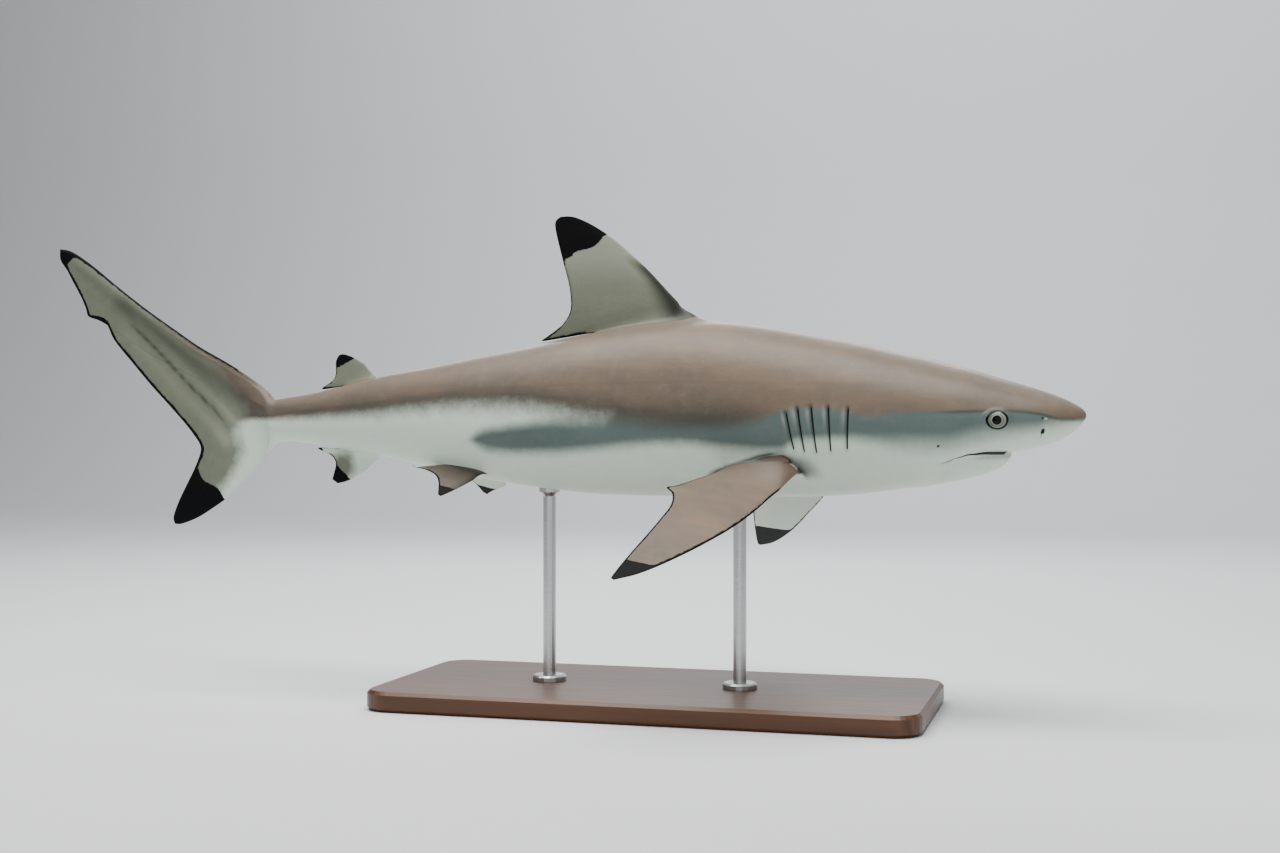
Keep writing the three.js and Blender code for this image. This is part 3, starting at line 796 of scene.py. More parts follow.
    def snap_mouth(self, back: Array, half: Array) -> Array:
        """Moves the nearest column onto the mouth's line on every row that it crosses.

        Args:
            back: Distance back of every point.
            half: Section angles.

        Returns:
            The moved angles.
        """
        half = half.copy()
        j = np.arange(half.shape[1])
        for i in range(self.row(86), self.row(self.mouth_corner) + 1):
            s = back[i, 0]
            want = self.mouth_half(np.array(s))
            point = self.form.point(np.full(200, s), np.linspace(1.7, math.pi, 200))
            line = np.interp(-want, point[:, 1], np.linspace(1.7, math.pi, 200))
            near = int(np.abs(half[i] - line).argmin())
            half[i] += (line - half[i, near]) * np.exp(-((j - near) / 2.2) ** 2)
        half[:, -1] = np.pi
        return half

    def part_columns(self, fin: Fin, angle: Array) -> Array:
        """Opens the grid's columns on both sides of a fin's slit.

        The slit's own column stays; its two copies are set apart later by the same widths.

        Args:
            fin: The fin.
            angle: Section angles.

        Returns:
            The moved angles.
        """
        angle = angle.copy()
        m = angle.shape[1]
        r0, r1 = self.row(fin.rows[0]), self.row(fin.rows[1])
        zone = 7
        for i in range(r0 + 1, r1):
            here = angle[i].copy()
            centre = here[fin.column]
            lo, hi = self.opening(fin, i, here)
            for k in range(1, zone):
                for sign, wide in ((-1, lo), (1, hi)):
                    j = (fin.column + sign * k) % m
                    outer = (fin.column + sign * zone) % m
                    gap = (here[j] - centre + math.pi) % (2 * math.pi) - math.pi
                    edge = (here[outer] - centre + math.pi) % (2 * math.pi) - math.pi
                    reachable = abs(edge)
                    wide_now = min(wide, reachable * 0.55)
                    angle[i, j] = centre + sign * (wide_now + (1 - wide_now / reachable) * abs(gap))
        return angle

    def opening(self, fin: Fin, row: int, angle: Array) -> tuple[float, float]:
        """How far the slit opens on each side, as section angles.

        Args:
            fin: The fin.
            row: The grid row.
            angle: The row's angles.

        Returns:
            The angles toward the lower- and higher-numbered columns.
        """
        s = self.rows[row]
        p = self.form.point(np.array([s]), np.array([angle[fin.column]]))[0]
        r = math.hypot(p[1], p[2] - float(self.form.mid(s)))
        return float(fin.open_low(s)) / r, float(fin.open_high(s)) / r

    # -------------------------------------------------------------- the head's features

    def features(self, points: Array, own: Array) -> tuple[Array, dict[str, Array]]:
        """Shapes the jaw, mouth, eyes, nostrils and gills.

        Args:
            points: Points of the smooth body.
            own: The grid's own distance back.

        Returns:
            The shaped points and the masks that came with the shapes.
        """
        p = points.copy()
        back, side, high = SNOUT_X - p[..., 0], np.abs(p[..., 1]), p[..., 2]
        hand = np.sign(p[..., 1])
        du = np.gradient(p, axis=0)
        dv = np.roll(p, -1, 1) - np.roll(p, 1, 1)
        normal = np.cross(du, dv)
        length = np.linalg.norm(normal, axis=-1, keepdims=True)
        normal = np.where(length > 1e-9, normal / np.maximum(length, 1e-9), 0)
        centre = np.stack([p[..., 0], np.zeros_like(high), self.form.mid(back)], -1)
        flip = np.sign(((p - centre) * normal).sum(-1, keepdims=True))
        normal = normal * np.where(flip == 0, 1, flip)
        furrow, shade = np.zeros(side.shape), np.zeros(side.shape)
        inner = np.zeros(side.shape)
        out = np.zeros(side.shape)

        # Gills: each slit is the free edge of a flap, with the next one tucked under it. Each slit is
        # painted near-black, with painted shade just behind it and over its top, and a painted highlight on
        # the band behind it, brightest toward the top.
        for slit in SLITS:
            d = own - slit.back
            mid, tall = (slit.high + slit.low) / 2, (slit.high - slit.low) / 2
            along = (high - mid) / tall
            window = smooth(1 - np.abs(along), -0.03, 0.1) * (side > 40)
            soft = smooth(1 - np.abs(along), -0.3, 0.4) * (side > 40)
            flap = np.where(d <= 0.2, smooth(d, -13, -1.0), 0) * 1.5
            tuck = np.where(d > 0.2, 1 - smooth(d, 0.4, 8), 0) * -1.0
            out += soft * (flap + tuck) - window * 2.6 * np.exp(-(d / 0.85) ** 2)
            furrow = np.maximum(furrow, window * np.exp(-((d - 0.15) / 0.95) ** 2))
            lit = smooth(along, -0.5, 0.9)
            shade += soft * (0.04 + 0.30 * lit ** 2) * np.exp(-((d - 4.6) / blend(1.4, 2.8, lit)) ** 2)
            shade -= soft * 0.55 * np.exp(-((d - 1.2) / 1.8) ** 2)
            shade -= 0.8 * np.exp(-((d - 0.6) / 2.2) ** 2 - ((high - slit.high) / 2.2) ** 2) * (side > 40)
        bar = np.exp(-((high - 7.6) / 1.1) ** 2) * smooth(own, 296, 298) * (1 - smooth(own, 306, 310))
        shade -= 0.9 * bar * (side > 40)
        # Fine folds of skin in front of the pectoral root; their creases are painted dark (painted shade),
        # and the skin nearest the root is darkened as painted shade.
        near = -self.from_shoulder(back, high)
        fold = smooth(near, -1.5, 0.5) * (1 - smooth(near, 8, 26)) * (1 - smooth(back, 329, 340)) * (
            smooth(high, -80, -64) * (1 - smooth(high, -57, -44)))
        shade -= 0.7 * fold * (1 - smooth(near, 1, 9))

        # Nostril: a short slanting pit with a flap at its front. The pit and its short tail are painted dark
        # (painted shade) and the flap paler (painted highlight).
        a = back - 45.6 - (high + 20) * -0.22
        b = high + 20.8
        pit = np.exp(-((a / 1.5) ** 2 + (b / 2.8) ** 4)) * (side > 20)
        rim = np.exp(-(((a + 3.0) / 1.8) ** 2 + ((b + 1.0) / 4.6) ** 4)) * (side > 20)
        tail_of = np.exp(-(((a - 1.0) / 1.1) ** 2 + ((b + 5.4) / 2.2) ** 2)) * (side > 20)
        out += -3.0 * pit + 0.7 * rim - 0.5 * tail_of
        furrow = np.maximum(furrow, np.clip(pit * 1.5, 0, 1))
        furrow = np.maximum(furrow, 0.45 * tail_of)
        shade += 0.55 * rim
        # Pores: six on the snout and one behind the corner of the mouth, each pit painted dark (painted
        # shade).
        for pore in PORES:
            off = ((back - pore.back) / pore.radius) ** 2 + ((high - pore.high) / pore.radius) ** 2
            dot = np.exp(-off) * (side > 15)
            out -= pore.deep * dot
            furrow = np.maximum(furrow, pore.deep * 1.1 * dot)
        shade += 1.3 * np.exp(-(((back - 42.6) / 1.3) ** 2 + ((high + 6.4) / 1.2) ** 2)) * (side > 15)

        # Eyes: a cup that the eyeball fills, with a raised lid round it. The socket's rim and inside are
        # painted near-black (painted shade), and the top of the lid a little paler (painted highlight).
        rise = high - self.eye_height
        d = np.hypot(back - self.eye_back, rise * np.where(rise > 0, self.eye_flat_top, self.eye_flat))
        near = (side > 30).astype(float)
        rim = self.eye_rim
        cup = -8.5 * (1 - smooth(d, rim - 2.6, rim + 0.1))
        lid = 0.9 * np.exp(-((d - rim - 1.0) / 1.0) ** 2) + 0.5 * np.exp(-((d - rim - 3.2) / 3.0) ** 2)
        brow = 1.4 * np.exp(-((d - rim - 2.4) / 3.4) ** 2) * smooth(rise, 1, 8)
        out += near * (cup + lid + brow)
        inner = np.maximum(inner, near * np.exp(-((d - rim + 0.5) / 0.9) ** 2))
        inner = np.maximum(inner, near * (d < rim - 0.5))
        shade += near * 0.3 * np.exp(-((d - rim - 1.2) / 0.7) ** 2) * smooth(rise, 0, 8)

        # Precaudal pit on the stalk's back, just ahead of the tail.
        pit_top = np.exp(-(((back - 1008) / 6) ** 2 + (p[..., 1] / 9) ** 2)) * (high > 0)
        out -= 1.6 * pit_top
        # The lateral line, a faint raised thread.
        trail = Curve(((150, 26), (300, 34), (500, 36), (700, 30), (850, 16), (1000, 0)))
        thread = np.exp(-((high - trail(back)) / 0.9) ** 2) * smooth(back, 150, 190) * (back < 1000)
        shade -= 0.10 * thread
        p += normal * out[..., None]

        # The mouth: the lower jaw drops below the palate inside its crescent; the gap between the lips is
        # painted near-black (painted shade).
        half = self.mouth_half(back)
        lead = np.maximum(self.mouth_rear - back, 0)
        long, wide = self.mouth_rear - self.mouth_front, self.mouth_wide
        steep = np.hypot(lead / long ** 2, side / wide ** 2)
        inset = (1 - (lead / long) ** 2 - (side / wide) ** 2) / (2 * np.maximum(steep, 1e-6))
        inset = np.where(back > self.mouth_rear, half - side, inset)
        below = points[..., 2] < self.form.mid(back)
        within = below & (back > self.mouth_front - 4) & (back < self.jaw_end)
        inset = np.where(within, inset, -99)
        deep = np.maximum(self.form.bottom(back) - self.form.jaw_line(back), 0)
        across = np.clip(side / np.maximum(half, 1e-3), 0, 1)
        lip = (1 - across ** 2.6) ** 0.5
        calm = (1 - across ** 2) ** 1.5
        share = smooth(back, self.mouth_corner - 6, self.mouth_corner + 26)
        drop = np.where(inset > 0, deep * blend(lip, calm, share), 0)
        front = 1 - smooth(back, self.mouth_corner - 8, self.mouth_corner + 2)
        gap = 3.9 - 2.1 * smooth(back, 98, 132) - 0.8 * smooth(back, 126, 144)
        drop = np.maximum(drop, front * (gap + 1.2) * smooth(inset, 0, 1.6) * (inset > 0)
                          * (1 - smooth(inset, 6, 20)))
        p[..., 2] -= drop
        tuck_in = front * smooth(inset, 0, 1.2) * (1 - smooth(inset, 2, 12)) * (inset > 0)
        p[..., 1] -= hand * tuck_in * 1.6 * np.clip(side / 20, 0, 1)
        gape = gap * front
        # Both lips arch up a little ahead of the corner.
        arch = (smooth(back, 80, 86) * (1 - 0.5 * np.exp(-((back - 121) / 8) ** 2))
                * (1 - smooth(back, 123, 137)))
        p[..., 2] += 2.2 * arch * np.exp(-(inset / 9) ** 2) * within
        gape = gape * smooth(back, 85.5, 90)
        # The inner rim of the lower lip is shadowed.
        shade -= (0.7 * (1 - smooth(back, 112, 130)) * smooth(drop, gap - 1, gap)
                  * (1 - smooth(drop, gap + 2, gap + 6))
                  * ((inset > 0) * (back > self.mouth_front - 2)))
        # The corner's furrow runs on a little way, dented and painted dark (painted shade).
        trail = Curve(((140, -50.6), (143, -52.2), (147.3, -54.3), (152, -56), (159, -57.6)))
        above = high - trail(back)
        seam = smooth(back, 140, 144) * (1 - smooth(back, 148, 162)) * (side > 30) * (np.abs(above) < 12)
        p -= normal * (seam * np.exp(-(above / 1.6) ** 2))[..., None]
        # Painted highlight: a pale line along the upper lip, raised a little.
        upper = front * np.exp(-((inset + 2.2) / 1.6) ** 2) * within
        p += normal * (0.5 * upper)[..., None]
        shade += 0.25 * upper
        p[0] = points[0]
        return p, {"furrow": furrow, "shade": shade, "inner": inner, "lip": drop * (front > 0.02),
                   "gape": gape, "fold": fold, "fold_at": np.minimum(near, 40), "seam": seam,
                   "seam_at": np.clip(above, -14, 14)}

    # -------------------------------------------------------------- colours of the body

    def body_masks(self, points: Array) -> dict[str, Array]:
        """Signed distances to the body's colour borders.

        Args:
            points: Points of the smooth body.

        Returns:
            Masks in the grid's shape.
        """
        back, high = SNOUT_X - points[..., 0], points[..., 2]
        brown = high - self.brown(back)
        # Above this border the flank band is darker: partly its own colour, partly painted shade.
        slate = high - self.slate(back)
        tongue = (self.tongue(back) - high) * blend(0.55, 1, smooth(back, 560, 680))
        slate = np.minimum(slate, blend(60, tongue, smooth(back, 458, 550)))
        soft = self.slate_soft(back)
        # The brown darkens toward its lower border behind the gills: partly its own colour, partly painted
        # shade of the flank turned from the light.
        dusk = (1 - smooth(brown, 0, 38)) * smooth(back, 310, 420) * blend(1, 0.8, smooth(back, 840, 1000))
        # A thin line of painted shadow runs along the brown's lower edge on the head.
        shade = -0.8 * np.exp(-((brown + 0.8) / 1.6) ** 2) * (1 - smooth(back, 130, 185))
        # The pectoral fins' brown tops begin on a shoulder of the body; the crease above it and the skin
        # just ahead of it are painted dark (painted shade).
        near = self.from_shoulder(back, high)
        line = -67.5 + (np.clip(back, 315, 400) - 315) * 0.07
        brown = np.maximum(brown, np.minimum(near + 1.6, high - line + 2.0) * 1.4)
        brown_soft = blend(self.brown_soft(back), 1.5, smooth(near, -9, -4))
        fold = np.exp(-((near + 3.2) / 2.6) ** 2) * smooth(back, 326, 350) * (1 - smooth(back, 414, 430))
        front = (np.exp(-((near + 1) / 6.5) ** 2) * (near < 0.5) * (1 - smooth(back, 330, 342))
                 * smooth(high, -76, -68))
        shade = shade - 1.35 * fold - 0.5 * front
        none = np.full(back.shape, -FAR)
        return {"brown": brown, "brown_soft": brown_soft, "slate": slate, "soft": soft, "web": none,
                "ink": none, "dusk": dusk, "shade": shade}

    def from_shoulder(self, back: Array, high: Array) -> Array:
        """Signed distance inside the brown shoulder over a pectoral fin's root.

        Args:
            back: Distance back.
            high: Height from the snout tip.

        Returns:
            Distances, positive inside, held at -60 far away.
        """
        out = np.full(back.shape, -60.0)
        near = (back > 275) & (back < 450) & (high < -20)
        flat = np.stack([back[near], high[near]], -1)
        inside = (flat[:, 1] < self.shoulder(flat[:, 0])) & (flat[:, 0] > 309) & (flat[:, 0] < 430)
        out[near] = np.where(inside, 1, -1) * reach(flat, self.shoulder_line)
        return out

    # -------------------------------------------------------------- building

    def build(self) -> bpy.types.Object:
        """Builds the skin's mesh object.

        Returns:
            The finished object, still without a material.
        """
        grid = Grid()
        smooth_body, own, angle = self.base()
        shaped, made = self.features(smooth_body, own)
        masks = self.body_masks(smooth_body)
        made["shade"] = made["shade"] + masks["shade"]
        masks.update(made)
        rows, cols = own.shape
        pole = grid.add(shaped[0, :1], {k: v[0, :1] for k, v in masks.items()})[0]
        ids = np.empty((rows, cols + 1), int)
        ids[0] = pole
        for i in range(1, rows):
            ids[i, :cols] = grid.add(shaped[i], {k: v[i] for k, v in masks.items()})
        ids[:, cols] = ids[:, 0]
        flat = self.flat_body(rows, cols)
        slits = {}
        for fin in self.fins:
            slits[fin.name] = self.open_slit(grid, fin, ids, angle)
        self.body_faces(grid, ids, flat, slits)
        pins: dict[int, float] = {}
        for fin in self.fins:
            self.grow(grid, fin, slits[fin.name], pins, ids)
        self.grow_tail(grid, ids[:, :cols], pins)
        points, faces, places, masks = grid.gathered()
        points = self.lifted(self.eased(points, faces, pins))
        return self.mesh(points, faces, places, masks)

    @staticmethod
    def lifted(points: Array) -> Array:
        """Raises the back into the front foot of the first dorsal fin.

        Args:
            points: All points.

        Returns:
            The points, with those near the foot moved up.
        """
        back, side, high = SNOUT_X - points[:, 0], points[:, 1], points[:, 2]
        reach_of = np.where(back < 454, 20, 12)
        near = np.exp(-((back - 454) / reach_of) ** 2 - (side / 12) ** 2)
        out = points.copy()
        out[:, 2] += 5.0 * near * smooth(high, 60, 95) * (1 - smooth(high, 112, 165))
        return out

    def flat_body(self, rows: int, cols: int) -> Array:
        """Texture places of the body, unrolled."""
        across = np.linspace(0, 540, cols + 1)
        return np.stack(np.broadcast_arrays(self.rows[:rows, None], across[None]), -1)

    def open_slit(self, grid: Grid, fin: Fin, ids: Array,
                  angle: Array) -> tuple[Array, Array, int, int]:
        """Makes the two copies of a slit's column.

        Args:
            grid: Where the vertices go.
            fin: The fin.
            ids: The body's vertex numbers.
            angle: The body's angles.

        Returns:
            The lower and higher copies' numbers and the slit's first and last row.
        """
        r0, r1 = self.row(fin.rows[0]), self.row(fin.rows[1])
        low, high = [ids[r0, fin.column]], [ids[r0, fin.column]]
        for i in range(r0 + 1, r1):
            lo, hi = self.opening(fin, i, angle[i])
            centre = angle[i, fin.column]
            s = self.rows[i]
            pair = self.form.point(np.array([s, s]), np.array([centre - lo, centre + hi]))
            got = grid.add(pair, self.body_masks(pair))
            low.append(got[0])
            high.append(got[1])
        low.append(ids[r1, fin.column])
        high.append(ids[r1, fin.column])
        return np.array(low), np.array(high), r0, r1

    def body_faces(self, grid: Grid, ids: Array, flat: Array,
                   slits: dict[str, tuple[Array, Array, int, int]]) -> None:
        """Adds the body's faces, with each slit's copies on their own side.

        Args:
            grid: Where the faces go.
            ids: (rows, columns + 1) vertex numbers.
            flat: Texture places.
            slits: Each fin's slit.
        """
        cols = ids.shape[1] - 1
        left, right = ids[:, :cols].copy(), ids[:, 1:].copy()
        for fin in self.fins:
            low, high, r0, r1 = slits[fin.name]
            left[r0:r1 + 1, fin.column] = high
            right[r0:r1 + 1, (fin.column - 1) % cols] = low
        quads = np.stack([left[:-1], right[:-1], right[1:], left[1:]], -1).reshape(-1, 4)
        uv = np.stack([flat[:-1, :-1], flat[:-1, 1:], flat[1:, 1:], flat[1:, :-1]], -2).reshape(-1, 4, 2)
        grid.faces.append(quads)
        grid.places.append(np.concatenate([uv, np.zeros(uv.shape[:2] + (1,))], 2))
        grid.patch = 1

    def grow(self, grid: Grid, fin: Fin, slit: tuple[Array, Array, int, int],
             pins: dict[int, float], ids: Array) -> None:
        """Grows a fin's rings from its slit to its tip.

        Args:
            grid: Where everything goes.
            fin: The fin.
            slit: The slit's two rows of vertices and its first and last row.
            pins: How freely each vertex near the root may be smoothed; filled in here.
            ids: The body's vertex numbers.
        """
        low0, high0, r0, r1 = slit
        n = len(low0) - 1
        even = np.arange(n + 1) / n
        eased = 0.45 * even + 0.55 * even ** 2
        last = len(fin.ribs) - 1
        far = np.linspace(0, 1, fin.rings - fin.fillet + 1)
        x = np.concatenate([np.linspace(fin.start - 0.25, fin.start, fin.fillet),
                            fin.start + (last - fin.start) * (1 - (1 - far[1:]) ** 1.25)])
        all_points = np.concatenate(grid.points)
        ground = {+1: all_points[low0 if fin.low_is_plus else high0],
                  -1: all_points[high0 if fin.low_is_plus else low0]}
        lists = {+1: [low0 if fin.low_is_plus else high0], -1: [high0 if fin.low_is_plus else low0]}
        for k, xk in enumerate(x, 1):
            t = min(k / (fin.fillet + 1), 1)
            u = blend(even, eased, t)
            tip = k == len(x)
            plus = None
            for side in (+1, -1):
                full = fin.surface(np.full(n + 1, xk), u, 0.0 if tip else float(side))
                point = blend(ground[side], full, t)
                if plus is not None:
                    ends = blend(blend(ground[1], ground[-1], 0.5), full, t)
                    point[0], point[-1] = ends[0], ends[-1]
                m = self.fin_masks(fin, np.full(n + 1, xk), u, side, t)
                if plus is None:
                    got = grid.add(point, m)
                    plus = got
                elif tip:
                    got = plus
                else:
                    inner = grid.add(point[1:-1], {a: b[1:-1] for a, b in m.items()})
                    got = np.concatenate([plus[:1], inner, plus[-1:]])
                lists[side].append(got)
        for side in (+1, -1):
            rows = np.stack(lists[side])
            xs = np.concatenate([[fin.start - 0.5], x])
            flat = fin.plane(np.repeat(xs[:, None], n + 1, 1), np.repeat(eased[None], len(xs), 0))
            grid.strip(rows, flat[..., ::-1] if len(fin.ribs) > 8 and fin.column not in (0, 90) else flat)
            for k in range(len(rows)):
                free = 1.0 if k <= fin.fillet + 1 else max(0.0, 1 - (k - fin.fillet - 1) / 4)
                held = 1 - 0.94 * smooth(eased, 0.72, 0.92) * smooth(k, 0, 2)
                for v, own in zip(rows[k], free * held):
                    pins[int(v)] = max(pins.get(int(v), 0.0), float(own))
        cols = ids.shape[1] - 1
        for i in range(max(r0 - 6, 1), min(r1 + 7, len(ids))):
            for dj in range(-7, 8):
                v = int(ids[i, (fin.column + dj) % cols])
                away = max(abs(dj) - 2, 0) / 5 + max(r0 - i, i - r1, 0) / 6
                pins[v] = max(pins.get(v, 0.0), float(np.clip(1 - away, 0, 1)))

    def fin_masks(self, fin: Fin, x: Array, u: Array, side: int, t: float) -> dict[str, Array]:
        """Colour masks of a fin's ring.

        Args:
            fin: The fin.
            x: Place in rib numbers.
            u: Chord fractions.
            side: +1 or -1.
            t: How far the ring has left the body, 0 to 1.

        Returns:
            Masks for the ring's points.
        """
        flat = fin.plane(x, u)
        front, rear = fin.edges()
        lead, trail = reach(flat, front), reach(flat, rear)
        c, w = flat[:, 0], flat[:, 1]
        some = np.ones(len(u))
        m = {"soft": 4 * some, "slate": -FAR * some, "web": -FAR * some, "brown": 8 * some,
             "brown_soft": 3 * some}
        if fin.name == "first_dorsal_fin":
            line = Curve(((560, 222), (569, 218.5), (574, 212), (581, 205.5), (590, 202.5), (599, 201),
                          (608, 198.5), (612, 193), (622, 191.5), (632, 190)))
            ink = (w - line(c)) * 0.88
            ink = np.maximum(ink, np.where((w > 176) & (w < 192), 2.2 - trail, ABSENT))
            ink = np.maximum(ink, np.where(w < 150, 1.5 - trail, ABSENT))
            ink = np.maximum(ink, np.where((w < 104) & (c > 596), 2.6 - trail, ABSENT))
            m["web"] = w - 116 + (c - 470) * 0.16
            m["ink"] = ink
            wide = blend(34, 12, smooth(w, 112, 176))
            m["shade"] = (-1.4 * (1 - smooth(lead / wide, 0.05, 1)) * smooth(w, 106, 114)
                          * (1 - smooth(w, 176, 192))
                          + 0.25 * smooth(w, 150, 200) - 0.4 * (1 - smooth(w, 104, 150)))
        elif fin.name == "second_dorsal_fin":
            m["ink"] = np.maximum(beyond(flat, (904, 71.5), (928, 59.5), (922, 78)),
                                  np.where(w > 36, 1.1, 2.2) - trail)
            m["web"] = w - 44.0 + (c - 890) * 0.25
        elif fin.name == "anal_fin":
            m["ink"] = np.maximum(beyond(flat, (908, -83), (928, -64), (932, -88)),
                                  np.where(c < 942, np.where(w < -50, 1.5, 0.6), ABSENT) - trail)
            m["brown"] = -FAR * some
            m["web"] = (15 - np.hypot(c - 919, (w + 65) / 1.25)) * 0.5
        elif fin.name.startswith("pectoral"):
            right = fin.name.endswith("right")
            edge = 246.0 if right else blend(199.0, 226.0, u)
            border = blend(1.4, 2.6, smooth(w, 60, 220)) - lead
            m["ink"] = np.maximum(w - edge, np.where(w > 40, border, ABSENT))
            m["ink"] = np.maximum(m["ink"], np.where(w > 10, 2.0 - trail, ABSENT))
            if side > 0:
                m["brown"] = 7 * some
                m["shade"] = -0.9 * np.exp(-(trail / 4.0) ** 2) * (1 - smooth(w, 30, 90)) * (t < 1)
            else:
                m["brown"] = -lead - 3.0
                m["shade"] = -0.15 * (1 - smooth(lead, 0, 10))
        else:
            right = fin.name.endswith("right")
            m["ink"] = np.maximum(w - blend(33, 30, u), np.where(w > 4, 2.0 - trail, ABSENT))
            m["brown"] = (np.minimum(FAR, (88 - c) * 0.7 + w) if side > 0 and right
                          else np.where(side > 0, 14 - trail * 0.2, -FAR)) * some
            m["dusk"] = 0.45 * some
            m["shade"] = -0.9 * (1 - smooth(lead, 0, 9)) * (side > 0) * right * some
        return m

    def grow_tail(self, grid: Grid, ids: Array, pins: dict[int, float]) -> None:
        """Carries the body's columns on through the tail fin.

        Args:
            grid: Where everything goes.
            ids: The body's vertex numbers, without the repeated last column.
            pins: How freely each vertex near the joint may be smoothed; filled in here.
        """
        root = ids[-1]
        for k, row in enumerate(ids[:-6:-1]):
            pins.update({int(v): 0.6 - 0.1 * k for v in row})
        m = self.half_columns
        steps = 48
        t = np.arange(1, steps + 1) / steps
        us = 0.7 * t + 0.3 * (0.5 - 0.5 * np.cos(np.pi * t))
        height = np.concatenate(grid.points)[root[:m + 1], 2]
        top, foot = self.tail.top[0][1], self.tail.foot[0][1]
        v_root = self.tail.from_share(np.clip((top - height) / (top - foot), 0, 1))
        v_even = np.arange(m + 1) / m
        rows = [np.append(root, root[0])]
        flats = [np.stack([np.full(m + 1, self.form.tail_root), height], -1)]
        for k, u in enumerate(us):
            v = blend(v_root, v_even, float(smooth(u, 0, 0.4)))
            uu = np.full(m + 1, u)
            flat = self.tail.point(uu, v)
            half = self.tail.half(self.form, uu, v, flat)
            half[0] = half[-1] = 0
            if k == steps - 1:
                half[:] = 0
            masks = self.tail_masks(flat)
            right = np.stack([SNOUT_X - flat[:, 0], -half, flat[:, 1]], -1)
            got = grid.add(right, masks)
            if k == steps - 1:
                other = got[m - 1:0:-1]
            else:
                left = right[m - 1:0:-1] * np.array([1, -1, 1])
                other = grid.add(left, {a: b[m - 1:0:-1] for a, b in masks.items()})
            rows.append(np.concatenate([got, other, got[:1]]))
            flats.append(flat)
            if k < 8:
                pins.update({int(v): 0.6 - 0.07 * k for v in rows[-1]})
        ids, flat = np.stack(rows), np.stack(flats)
        grid.strip(ids[:, :m + 1], flat)
        grid.strip(ids[:, m:], flat[:, ::-1])

    def tail_masks(self, flat: Array) -> dict[str, Array]:
        """Colour masks of the tail fin.

        Args:
            flat: Points as (back, height).

        Returns:
            Masks for the points.
        """
        t = np.linspace(0, 1, 240)
        top = reach(flat, Outline(self.tail.top)(t))
        rear = reach(flat, Outline(self.tail.rear)(t))
        s, z = flat[:, 0], flat[:, 1]
        ink = np.where(s > 1062, blend(2.3, 4.0, smooth(s, 1240, 1320)) - top, ABSENT)
        ink = np.maximum(ink, 4.2 - rear)
        ink = np.maximum(ink, beyond(flat, (1332, 197.5), (1308, 218.5), (1340, 224)))
        low = Curve(((1084, -118), (1090, -109), (1096, -98), (1111, -89.5), (1120, -86), (1127, -72),
                     (1136, -58)))
        ink = np.maximum(ink, np.where((s > 1082) & (z < -50), (low(s) - z) * 0.75, ABSENT))
        # Grey skin behind a soft border; ahead of it the stalk's brown and pale carry on.
        border = Curve(((-115, 1104), (-95, 1092), (-75, 1075), (-60, 1067), (-46, 1063), (-36, 1066),
                        (-20, 1070), (-5, 1058), (6, 1056), (26, 1066), (42, 1082), (60, 1100)))
        web = (s - border(z)) * 0.3
        web = np.minimum(web, (top - blend(11, 3, smooth(s, 1080, 1190))) * 0.7 + 20 * smooth(s, 1180, 1270))
        axis = np.array([(1078, -20), (1107, 10), (1140, 39), (1181, 79), (1204, 100), (1227, 120)], float)
        ridge = reach(flat, axis)
        shade = -0.85 * np.exp(-(ridge / 2.0) ** 2) * smooth(s, 1078, 1105) * (1 - smooth(s, 1205, 1240))
        light = reach(flat, axis + np.array([9.0, -13.0]))
        shade = shade + 0.25 * np.exp(-(light / 10) ** 2) - 0.22 * smooth(s, 1075, 1130)
        light = reach(flat, axis + np.array([-7.0, 9.0]))
        shade = shade + 0.2 * np.exp(-(light / 5) ** 2)
        # Painted shade: a dark band under the upper lobe's top margin.
        dusk = reach(flat, np.array([(1060, 22), (1100, 50), (1160, 92), (1240, 148)], float))
        shade = shade - 0.55 * np.exp(-(dusk / 13) ** 2)
        some = np.ones(len(s))
        return {"brown": z + 6, "brown_soft": 5 * some, "slate": -FAR * some, "soft": 7 * some, "web": web,
                "ink": ink, "dusk": 0.8 - 0.4 * smooth(z, -6, 20), "shade": shade}

    @staticmethod
    def eased(points: Array, faces: Array, pins: dict[int, float], rounds: int = 24) -> Array:
        """Smooths the skin where the fins leave the body.

        Args:
            points: All points.
            faces: All quads.
            pins: How freely each vertex may move.
            rounds: How many passes.

        Returns:
            The moved points.
        """
        free = np.zeros(len(points))
        free[list(pins)] = list(pins.values())
        e = np.concatenate([faces[:, [0, 1]], faces[:, [1, 2]], faces[:, [2, 3]], faces[:, [3, 0]]])
        e = np.unique(np.sort(e[e[:, 0] != e[:, 1]], 1), axis=0)
        e = e[(free[e[:, 0]] > 0) | (free[e[:, 1]] > 0)]
        count = np.bincount(e.ravel(), minlength=len(points)).astype(float)
        for _ in range(rounds):
            total = np.zeros_like(points)
            for k in range(3):
                total[:, k] = (np.bincount(e[:, 0], points[e[:, 1], k], len(points))
                               + np.bincount(e[:, 1], points[e[:, 0], k], len(points)))
            mean = total / np.maximum(count, 1)[:, None]
            points = points + (mean - points) * (0.5 * free * (count > 0))[:, None]
        return points

